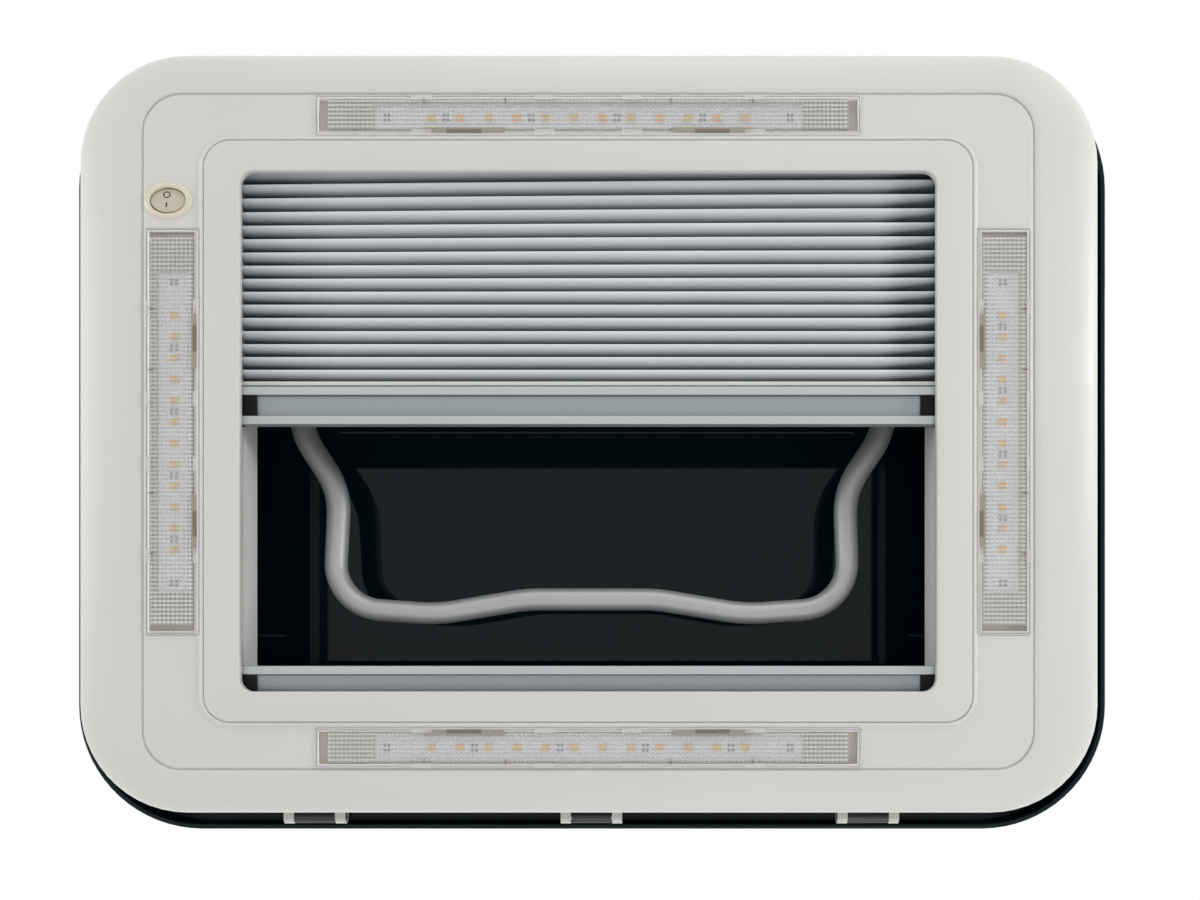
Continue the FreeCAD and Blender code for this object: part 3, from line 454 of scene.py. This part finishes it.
for side, lamp in LAMPS.items():
    long_half, wide_half = max(lamp["half"]), min(lamp["half"])
    scale = long_half / LONGEST_LAMP
    stretch = np.array([scale, 1.0, 1.0])
    board_half = BOARD["long"] * scale, wide_half * BOARD["wide_share"]

    rows = ring_rows(offset_stations((long_half, wide_half), LAMP_CORNER, COVER_PROFILE, least=0.4), steps=5)
    lamp_piece(side, f"lamp_cover_{side}_rim", rows, grid_faces(len(rows), rows.shape[1], close_rows=True),
               cover_finish, [f"lamp_cover_{side}"], smooth=50)
    field = long_half - PRISM["end_strip"] * scale, wide_half - PRISM["side_strip"]
    count = [2 * int(round(2 * f / PRISM["pitch"])) + 1 for f in field]
    along, across = np.meshgrid(*(np.linspace(-f, f, n) for f, n in zip(field, count)), indexing="ij")
    peak = (np.arange(count[0]) % 2)[:, None] * (np.arange(count[1]) % 2)[None, :]
    front = np.stack([along, across, PRISM["foot"] - PRISM["height"] * peak], -1).reshape(-1, 3)
    rear = np.stack([along, across, np.full_like(along, LENS["front"])], -1).reshape(-1, 3)
    points = np.concatenate([front, rear])
    prisms = lamp_piece(side, f"lamp_prisms_{side}", points, sheet_faces(*count)[:, ::-1],
                        prism_finish, smooth=5)
    store(prisms, "over_board", (abs(points[:, :2]) < board_half).all(axis=1))
    half = np.array([long_half - COVER_EDGE, wide_half - COVER_EDGE, 0.0])
    lamp_boxes(side, f"lamp_plate_{side}", [(0, 0, LENS["front"])], half, half + (0, 0, LENS["thick"]),
               lens_finish)
    places = [(share * long_half, edge * (wide_half - CATCH["inset"]), CATCH["level"])
              for edge in (-1, 1) for share in CATCH["shares"]]
    half = CATCH["half"] * stretch
    lamp_boxes(side, f"lamp_catches_{side}", places, half, half, cover_finish)
    # The notches are boxes in the pocket's brown with painted shade, and the wedges darker boxes of painted
    # shadow in their gaps.
    places = [(sign * NOTCH["at"] * scale, wide_half - NOTCH["inset"], NOTCH["level"]) for sign in (-1, 1)]
    for word, size, finish in (("notches", NOTCH, notch_shaded_pocket_finish), ("wedge_shadows", WEDGE_SHADOW, wedge_shadow_and_seam_finish)):
        lamp_boxes(side, f"lamp_{word}_{side}", places, size["low"] * stretch, size["high"] * stretch,
                   finish)
    places = [(at * scale, COVER_SEAM["inset"] - wide_half, COVER_SEAM["level"]) for at in COVER_SEAM["at"]]
    lamp_boxes(side, f"lamp_seams_{side}", places, COVER_SEAM["half"], COVER_SEAM["half"],
               wedge_shadow_and_seam_finish)

    half = np.array([*board_half, 0.0])
    lamp_boxes(side, f"light_board_{side}_strip", [(0, 0, BOARD["level"])], half,
               half + (0, 0, LAMP_DEPTH - BOARD["level"]), board_finish,
               [f"light_board_{side}"])
    half = np.array([*(h - COVER_EDGE - POCKET_FLOOR["gap"] for h in (long_half, wide_half)), 0.0])
    lamp_boxes(side, f"lamp_pocket_floor_{side}", [(0, 0, LAMP_DEPTH)], half + (0, 0, POCKET_FLOOR["thick"]),
               half, floor_finish)
    pitch = LED["pitch"] * scale
    at = (np.arange(LED["count"]) - (LED["count"] - 1) / 2) * pitch
    places = np.stack([at, 0 * at, 0 * at + BOARD["level"]], -1)
    half = np.array([LED["half"][0] * scale ** 0.5, LED["half"][1], 0.0])
    lamp_boxes(side, f"led_cases_{side}", places, half + (0, 0, LED["rise"]), half,
               led_case_finish)
    half = half * LED["spot_share"]
    lamp_boxes(side, f"led_spots_{side}", places - (0, 0, LED["rise"]), half + (0, 0, LED["spot_rise"]), half,
               led_finish)
    group = (np.arange(CHIP["groups"]) - (CHIP["groups"] - 1) / 2) * CHIP["every"] + lamp["chip_shift"]
    ends = np.array([-1, 1]) * (board_half[0] - CHIP["end_inset"] * scale)
    at = np.concatenate([group * pitch, ends])
    places = (at[:, None, None] * np.array([1, 0, 0]) + CHIP_SPREAD).reshape(-1, 3)
    half = np.array([*CHIP["half"], 0.0])
    lamp_boxes(side, f"resistors_{side}", places, half + (0, 0, CHIP["rise"]), half,
               chip_finish)

# Switch: a cream plastic bezel pressed into its hole in the panel, and an oval rocker on a pivot
# behind it, with a ring and a stroke printed on its face for off and on.
PIVOT_LEVEL = 4.6
ROCKER_TILT = 6.0
MARK_X = -0.9
RING = dict(at=-4.5, half=(2.9, 2.6), middle=0.82, line=0.18)
STROKE = dict(at=3.3, half=(0.65, 1.9))
BEZEL_FOOT = 15.0
BEZEL_WALL = 1.8
switch_finish = moulded("switch_cream", (0.70, 0.625, 0.49), grain=0.006, tint=0.02, Roughness=0.3)
rocker_look = Look("switch_rocker", Roughness=0.27)
u, v = (axis - middle for axis, middle in zip(rocker_look.place(), SWITCH["middle"]))
ring_u, ring_v = (u - MARK_X) / RING["half"][0], (v - RING["at"]) / RING["half"][1]
distance = (ring_u * ring_u + ring_v * ring_v).math("SQRT")
ring_mark = abs(distance - RING["middle"]).math("LESS_THAN", RING["line"])
stroke_u, stroke_v = abs(u - MARK_X), abs(v - STROKE["at"])
stroke = stroke_u.math("LESS_THAN", STROKE["half"][0]) * stroke_v.math("LESS_THAN", STROKE["half"][1])
mark = ring_mark.math("MAXIMUM", stroke)
rocker_look.feed("Base Color", rocker_look.mix((0.54, 0.495, 0.40), (0.04, 0.04, 0.045), mark))
rocker_look.bump(rocker_look.noise(1.2, 2.0), 0.006)

(bx, by), (rx, ry) = SWITCH["bezel"], [h + SWITCH["play"] for h in SWITCH["rocker"]]
rows = ovals([
    (bx, by, PANEL_LEVEL), (bx, by, 1.7), (bx - 0.5, by - 0.5, 1.1), (bx - 1.6, by - 1.4, 0.65),
    (bx - 2.8, by - 2.3, 0.48), (rx + 0.6, ry + 0.6, 0.42), (rx + 0.15, ry + 0.15, 0.6), (rx, ry, 1.1),
    (rx, ry, BEZEL_FOOT), (rx + BEZEL_WALL, ry + BEZEL_WALL, BEZEL_FOOT),
    (rx + BEZEL_WALL, ry + BEZEL_WALL, PANEL_LEVEL),
], SWITCH["middle"])
faces = grid_faces(len(rows), rows.shape[1], close_rows=True)[:, ::-1]
add_piece("switch_bezel_ring", rows, faces, "frame", switch_finish, ["switch_bezel"],
          smooth=60)
rx, ry = SWITCH["rocker"]
rows = ovals([(rx, ry, 3.0), (rx, ry, -2.2), (rx - 0.25, ry - 0.25, -2.7), (rx - 0.9, ry - 0.9, -2.95),
              (rx * 0.6, ry * 0.6, -2.9), (rx * 0.2, ry * 0.2, -2.85)], (0.0, 0.0))
x, y, z = np.moveaxis(rows, -1, 0)
tilt = math.radians(-ROCKER_TILT)
rows = np.stack([x, y * math.cos(tilt) - z * math.sin(tilt), y * math.sin(tilt) + z * math.cos(tilt)], -1)
rows = rows + np.array([*SWITCH["middle"], PIVOT_LEVEL])
add_piece("switch_rocker_paddle", rows, [face[::-1] for face in closed_stack(rows)], "rocker",
          rocker_look.material, ["switch_rocker"])

# Rails and cassettes: white extruded plastic behind the window, clipped to the inner frame's collar.
# The rails guide the bars, and the cassettes hold what is folded of the blind and the screen.
rail_finish = moulded("rail_white", (0.70, 0.70, 0.68), grain=0.01, Roughness=0.35)


def dress(nodes, finish):
    """Gives CAD nodes a finish."""
    for name in nodes:
        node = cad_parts[name]
        node.data.materials.clear()
        node.data.materials.append(finish)


dress(["side_rail_left", "side_rail_right", "blind_cassette", "screen_cassette"], rail_finish)

# Bars: extruded aluminium grips in silver grey, with two flat strips and a hollow channel between
# them. Black plastic caps close the channel's ends and slide in the rails.
BAR_HALF = 262.0
BAR_LEVEL = 8.0
BAR_THICK = 11.0
BAR_WIDTH = 28.4
STRIP = 6.2
SEAM = 0.7
GRIP_DEPTH = 2.6
SEAM_DEPTH = GRIP_DEPTH + 1.4
bar_look = Look("bar_grey", Metallic=0.35)
strip_tone = bar_look.mix((0.44, 0.47, 0.475), (0.49, 0.52, 0.525), bar_look.drift(0.02, 2.0, (0.15, 1, 1)))
# Painted shade: the colour darkens from the strips' grey to a darker grey in the sunk channel between them.
channel_painted_shade = (bar_look.place()[2] - BAR_LEVEL - 0.5) / 1.2
bar_look.feed("Base Color", bar_look.mix(strip_tone, (0.30, 0.335, 0.345), channel_painted_shade))
bar_look.feed("Roughness", bar_look.noise(0.5, 2.0, (0.02, 1, 1)) * 0.06 + 0.36)
cap_finish = moulded("cap_black", (0.004, 0.004, 0.006), grain=0.02, Roughness=0.5, Specular_IOR_Level=0.15)
near, far = STRIP, BAR_WIDTH - STRIP
bar_profile = np.array([
    (0.0, 0.5), (0.15, 0.15), (0.5, 0.0), (near - 0.4, 0.0), (near - 0.1, 0.1), (near, 0.4),
    (near, SEAM_DEPTH), (near + SEAM, SEAM_DEPTH), (near + SEAM, GRIP_DEPTH - 0.2),
    (near + SEAM + 0.9, GRIP_DEPTH - 0.5), (BAR_WIDTH / 2, GRIP_DEPTH - 0.1), (far - 3.4, GRIP_DEPTH + 0.5),
    (far - SEAM, GRIP_DEPTH + 0.9), (far - SEAM, SEAM_DEPTH), (far, SEAM_DEPTH),
    (far, 0.4), (far + 0.1, 0.1), (far + 0.4, 0.0), (BAR_WIDTH - 0.5, 0.0), (BAR_WIDTH - 0.15, 0.15),
    (BAR_WIDTH, 0.5), (BAR_WIDTH, BAR_THICK), (0.0, BAR_THICK),
])


def extruded(profile, half_x, at_y, level):
    """A closed (across, up) profile carried along X from -half_x to half_x, as two rings."""
    return np.stack([np.stack([np.full(len(profile), x), at_y + profile[:, 0], level + profile[:, 1]], -1)
                     for x in (-half_x, half_x)])


for name, body in (("blind", "blind"), ("screen", "frame")):
    rows = extruded(bar_profile, BAR_HALF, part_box(f"{name}_bar")[0][1] / MM, BAR_LEVEL)
    add_piece(f"{name}_bar_profile", rows, closed_stack(rows), body, bar_look.material,
              [f"{name}_bar"], smooth=30)
    dress([f"{name}_bar_cap_left", f"{name}_bar_cap_right"], cap_finish)

# Pleated blind: silver black-out cloth in permanent pleats that hang like shingles, held by its
# cassette and by the bar.
PLEAT_LEVEL = 11.2
PLEAT_DEPTH = 13.0
PLEAT_CREST = 0.16
FULL_PLEAT = 9.0
CLOTH_HALF = 263.0
CLOTH_THICK = 0.4
CLOTH_COLUMNS = 60
FOLD = dict(start=-194.3, pitch=11.0, loss=0.048, numbers=(-3, 16))
FAN = dict(most=4.0, folds=9)
# Painted shadow at the pleats' ends: from these distances outwards the cloth is painted darker, most at the
# right end.
SHADED_ENDS = ((1, 222.0), (-1, 190.0))
cloth_low, cloth_high = (corner[1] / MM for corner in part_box("blind_cloth"))
cloth_look = Look("pleat_cloth", Roughness=0.5, Sheen_Weight=0.1, Sheen_Roughness=0.5)
weave = cloth_look.noise(2.5, 2.0, (1, 0.4, 0.4))
tone = cloth_look.noise(0.03, 2.0, (0.3, 1, 1))
crest = cloth_look.mix((0.77, 0.82, 0.875), (0.87, 0.91, 0.955), tone * 0.5 + weave * 0.15 + 0.5)
# Painted shade: the number stored as along goes from 0 at each pleat's upper fold to 1 at its lower fold,
# more towards its ends, and takes the cloth's colour from its own tone towards near black.
along = cloth_look.stored("along")
cloth_look.feed("Base Color", cloth_look.mix(crest, (0.04, 0.05, 0.06), along.math("POWER", 1.08)))
cloth_look.bump(weave, 0.02)


def pleat_depth(t):
    """How deep a pleat lies at t from fold to fold: a quarter sine up to the crest, then a quarter round."""
    fall = np.clip((t - PLEAT_CREST) / (1 - PLEAT_CREST), 0, 1)
    before = 0.42 * (1 - np.sin(math.pi / 2 * t / PLEAT_CREST))
    return np.where(t < PLEAT_CREST, before, 1 - np.sqrt(np.clip(1 - (0.985 * fall) ** 2.1, 0, 1)))


def eased_back(share):
    """The inverse of the ease 3 s^2 - 2 s^3 with which a blend follows its second body."""
    return 0.5 - np.sin(np.arcsin(1 - 2 * share) / 3)


folds = np.arange(*FOLD["numbers"])
fold_y = FOLD["start"] + FOLD["pitch"] * folds - FOLD["loss"] * folds ** 2
fold_y = np.append(cloth_low + 0.5, fold_y)
fan = FAN["most"] * np.clip(1 - np.abs(np.append(folds[0], folds)) / FAN["folds"], 0, 1)
fan[[0, -1]] = 0.0
follow = eased_back(np.linspace(0.02, 0.98, len(fold_y)))
x = np.linspace(-1, 1, CLOTH_COLUMNS) * CLOTH_HALF
fan_lean = (0.5 - x / CLOTH_HALF / 2) ** 1.5
t = np.linspace(0, 1, 22)
# The painted shade of the pleats: darker down each pleat, and darker still towards both ends as painted
# shadow.
right, left = (np.clip((side * x - begin) / (CLOTH_HALF - begin), 0, 1) for side, begin in SHADED_ENDS)
shade = np.clip(t[:, None] * (1 + 0.75 * right + 0.2 * left) + 0.05 * left, 0, 1)
wave = 0.12 * np.sin(x / 61.0 + 0.8) + 0.1 * np.sin(x / 19.0)
for number, (low, high) in enumerate(zip(fold_y, fold_y[1:])):
    upper, lower = low + fan[number] * fan_lean, high + fan[number + 1] * fan_lean
    y = upper + t[:, None] * (lower - upper)
    ripple = wave * np.sin(math.pi * t)[:, None] * np.cos(number * 2.4)
    z = PLEAT_LEVEL + PLEAT_DEPTH * pleat_depth(t)[:, None] * min(1.0, (high - low) / FULL_PLEAT) + ripple
    rows = np.stack(np.broadcast_arrays(x[None, :], y, z), -1)
    points = np.concatenate([rows, rows + (0, 0, CLOTH_THICK)])
    pleat = make_piece(f"blind_pleat_{number:02d}", points, sheet_faces(*rows.shape[:2]), cloth_look.material,
                       smooth=60)
    store(pleat, "along", np.tile(shade.reshape(-1), 2))
    reach = (high - low) / (follow[number + 1] - follow[number])
    begin = low - follow[number] * reach
    begin_at, end_at = ((0, at * MM, PLEAT_LEVEL * MM) for at in (begin, begin + reach))
    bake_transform(pleat)
    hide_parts("blind_cloth")
points, faces = boxes([[-CLOTH_HALF, fold_y[-1] + 0.4, PLEAT_LEVEL]],
                      [[CLOTH_HALF, cloth_high - 1.2, PLEAT_LEVEL + 5.0]])
add_piece("blind_clamp_strip", points, faces, "blind", rail_finish)

# Outer frame: a white moulding on the roof with the flange, the neck, the upstand and the hinge ears,
# glued round the cut-out. A black rubber seal is pushed on the upstand, and the dome closes on it.
outer_finish = moulded("outer_white", (0.56, 0.56, 0.54), grain=0.01, Roughness=0.3)
seal_finish = moulded("seal_rubber", (0.012, 0.012, 0.013), grain=0.05, per_mm=1.0, Roughness=0.7)
dress(["outer_frame"], outer_finish)
dress(["dome_seal"], seal_finish)

# Dome: two skins of smoked acrylic, drawn over a mould; the inner one is a flat pane on sloping walls
# and both are bonded along the foot. The hinges carry it.
DOME_HALF = (415.0, 309.0)
DOME_CORNER = 100.0
DOME_FOOT = 65.0
SKIRT_TOP = 92.0
CROWN_ROUND = 46.0
DOME_WALL = 4.0
OUTER_FOOT = [(0.8, 0.8, 0.0), (0.2, 0.2, 0.3), (0.0, 0.0, 0.9)]
INNER_FOOT = [(-0.8, -0.6, 0.0), (-0.2, 0.0, 0.3), (0.0, 0.0, 0.9)]
dome_look = Look("smoked_acrylic", Roughness=0.03, IOR=1.49, Specular_IOR_Level=0.17)
smoke = dome_look.mix((0.0010, 0.0080, 0.0115), (0.0014, 0.0100, 0.0140), dome_look.drift(0.004))
dome_look.feed("Base Color", smoke)


def dome_skin(inset, foot):
    """Stations of one face of the dome: an upright skirt from a rounded foot, then a crown of one round.

    A foot's point is (inset, loss of the corner, rise).
    """
    half = [h - inset for h in DOME_HALF]
    corner, crown_round = DOME_CORNER - inset, CROWN_ROUND - inset
    skirt = [(half[0] - i, half[1] - i, corner - loss, DOME_FOOT + up) for i, loss, up in foot]
    run, rise = (crown_round * part for part in quarter_round(18))
    crown = np.stack([half[0] - run, half[1] - run, corner - run, SKIRT_TOP + rise], -1)
    return skirt + [tuple(station) for station in crown]


def bowl(outer, inner):
    """Rings and faces of a bowl of two skins: the inner one from the top down, then the outer one up."""
    down, up = (ring_rows(stations, steps=18) for stations in (inner[::-1], outer))
    rows = np.concatenate([down, up])
    return rows, closed_stack(rows)


rows, faces = bowl(dome_skin(0.0, OUTER_FOOT), dome_skin(DOME_WALL, INNER_FOOT))
add_piece("dome_skin", rows, faces, "dome", dome_look.material, ["dome_outer"], smooth=50)
dress(["dome_inner"], dome_look.material)

# Hinges: dark moulded leaves bonded under the dome's foot, which turn on steel pins through the white
# ears of the outer frame.
HINGES = ("left", "middle", "right")
dark_finish = moulded("hinge_dark", (0.012, 0.016, 0.017), grain=0.02, Roughness=0.4)
steel_look = Look("pin_steel", Metallic=1.0, Roughness=0.3)
steel_look.feed("Base Color", steel_look.mix((0.45, 0.45, 0.46), (0.60, 0.60, 0.61), steel_look.drift(0.3)))
dress([f"hinge_leaf_{side}" for side in HINGES], dark_finish)
dress([f"hinge_pin_{side}" for side in HINGES], steel_look.material)

# Bow: a bent tube in light grey paint, the handle that lifts the dome. It hangs on pins from two dark
# brackets that are bonded to the pane.
BOW_SLOPE = math.radians(9.9)
BOW_PIVOT = np.array([0.0, -142.0, 100.0])
HALF_ROUTE = [(-240.0, -8.0), (-240.0, 128.0), (-205.0, 180.0), (-205.0, 276.0), (-122.0, 282.0),
              (-52.0, 270.0)]
HALF_BENDS = [68.0, 68.0, 40.0, 130.0, 130.0]
TUBE_STEPS = 28
bow_look = Look("bow_grey", Metallic=0.55, Roughness=0.52)
paint = bow_look.mix((0.365, 0.373, 0.378), (0.42, 0.428, 0.433), bow_look.drift(0.03, 3.0))
bow_look.feed("Base Color", paint)
bow_look.bump(bow_look.noise(0.9, 3.0), 0.02)


def rounded_route(points, bends, steps=14):
    """Points along straight runs whose inner corners are arcs of the given radii.

    An arc's points are the spherical mean of its two end spokes, sin((1 - s) w) and sin(s w) over sin w.
    """
    points = np.asarray(points, float)
    parts = [points[:1]]
    share = np.linspace(0, 1, steps)[:, None]
    for before, corner, after, radius in zip(points, points[1:], points[2:], bends):
        back, on = ((p - corner) / np.linalg.norm(p - corner) for p in (before, after))
        half = math.acos(np.clip(back @ on, -1, 1)) / 2
        centre = corner + (back + on) / np.linalg.norm(back + on) * radius / math.sin(half)
        enter, leave = (corner + way * radius / math.tan(half) - centre for way in (back, on))
        whole = math.pi - 2 * half
        spokes = np.sin((1 - share) * whole) * enter + np.sin(share * whole) * leave
        parts.append(centre + spokes / math.sin(whole))
    return np.concatenate([*parts, points[-1:]])


route = HALF_ROUTE + [(-x, y) for x, y in reversed(HALF_ROUTE)]
plan = rounded_route(route, HALF_BENDS + HALF_BENDS[::-1])
slope = np.array([[1, 0, 0], [0, math.cos(BOW_SLOPE), -math.sin(BOW_SLOPE)]])
spine = plan @ slope + BOW_PIVOT
ahead = np.gradient(spine, axis=0)
ahead /= np.linalg.norm(ahead, axis=1)[:, None]
upright = np.array([0.0, math.sin(BOW_SLOPE), math.cos(BOW_SLOPE)])
sideways = np.cross(ahead, upright)[:, None, :]
turn = np.linspace(0, 2 * math.pi, TUBE_STEPS, endpoint=False)[None, :, None]
thick = np.interp(plan[:, 1], [120, 280], [9.9, 8.7])[:, None, None]
rows = spine[:, None, :] + thick * (np.cos(turn) * sideways + np.sin(turn) * upright)
add_piece("bow_tube", rows, closed_stack(rows), "bow", bow_look.material, ["bow"], smooth=60)
dress(["bow_bracket_left", "bow_bracket_right"], dark_finish)
dress(["bow_pin_left", "bow_pin_right"], steel_look.material)

# Studio: a room that is white behind the hatch and darker below it, a pale floor that only the camera
# sees from above, and soft lamps on both sides of the hatch.
WORLD_BELOW = 0.49
WORLD_ABOVE = 1.3
HORIZON = (-0.55, 0.05)
FLOOR_HALF = 30000.0
FLOOR_LEVEL = -0.4
world = bpy.data.worlds.new("studio")
bpy.context.scene.world = world
world.use_nodes = True
sky = Nodes(world.node_tree)
height = sky.axes("ShaderNodeTexCoord", "Generated")[2]
level = sky.node("ShaderNodeMapRange", {}, 0, height, *HORIZON, WORLD_BELOW, WORLD_ABOVE)
seen = sky.node("ShaderNodeLightPath", {}, "Is Camera Ray")
for word in ("Is Glossy Ray", "Is Transmission Ray"):
    seen = seen.math("MAXIMUM", sky.node("ShaderNodeLightPath", {}, word))
strength = sky.node("ShaderNodeMapRange", {}, 0, seen, 0.0, 1.0, level, 1.0)
background = world.node_tree.nodes["Background"]
background.inputs["Color"].default_value = (1.0, 1.0, 1.0, 1.0)
world.node_tree.links.new(strength.socket, background.inputs["Strength"])

floor_look = Look("floor", Base_Color=(0.86, 0.86, 0.86), Roughness=0.9, Specular_IOR_Level=0.1)
from_below = floor_look.node("ShaderNodeNewGeometry", {}, "Backfacing")
unseen = floor_look.node("ShaderNodeBsdfTransparent", {}, 0)
pale = Value(floor_look, floor_look.shader.outputs[0])
either = floor_look.node("ShaderNodeMixShader", {}, 0, from_below, pale, unseen)
floor_look.tree.links.new(either.socket, floor_look.tree.nodes["Material Output"].inputs[0])
corners = [(sx * FLOOR_HALF, sy * FLOOR_HALF, FLOOR_LEVEL) for sx, sy in ((-1, -1), (1, -1), (1, 1), (-1, 1))]
floor = make_piece("floor", corners, [[0, 1, 2, 3]], floor_look.material)
floor.visible_diffuse = floor.visible_glossy = floor.visible_transmission = floor.visible_shadow = False


def lamp_light(name, place, size, power):
    """A soft square lamp, placed and sized in metres, that points at the middle of the hatch."""
    light = bpy.data.lights.new(name, "AREA")
    light.shape, light.size, light.energy = "SQUARE", size, power
    lamp = bpy.data.objects.new(name, light)
    bpy.context.scene.collection.objects.link(lamp)
    lamp.location = place
    lamp.rotation_euler = (-Vector(place)).to_track_quat("-Z", "Y").to_euler()


lamp_light("room_right", (1.7, -0.4, -0.58), 0.3, 11.0)
lamp_light("room_left", (-1.7, -0.3, -0.5), 0.8, 9.0)
lamp_light("room_front", (0.1, -1.6, -0.75), 0.7, 6.5)
lamp_light("room_back", (0.4, 1.5, -1.1), 1.2, 9.0)
lamp_light("sky_key", (1.2, -1.6, 2.2), 1.4, 8.0)
lamp_light("sky_fill", (-1.6, 1.4, 1.8), 1.6, 4.0)

# Camera: under the hatch and looking straight up, with its picture shifted as a view camera shifts
# it, so that the hatch's edges stay parallel and the hatch sits in the picture as it was taken.
CAMERA_PLACE = (38.8, 156.3, -800.0)
PICTURE = (1200.0, 900.0)
FOOT_PIXEL = (640.0, 640.0)
FOCAL_PIXELS = 1070.0
SENSOR = 36.0
view = bpy.data.cameras.new("camera")
view.sensor_width = SENSOR
view.lens = FOCAL_PIXELS / PICTURE[0] * SENSOR
view.shift_x = (PICTURE[0] / 2 - FOOT_PIXEL[0]) / PICTURE[0]
view.shift_y = (FOOT_PIXEL[1] - PICTURE[1] / 2) / PICTURE[0]
camera = bpy.data.objects.new("camera", view)
bpy.context.scene.collection.objects.link(camera)
camera.location = [value * MM for value in CAMERA_PLACE]
camera.rotation_euler = (math.pi, 0.0, 0.0)
bpy.context.scene.camera = camera
bpy.context.scene.view_settings.view_transform = "Standard"
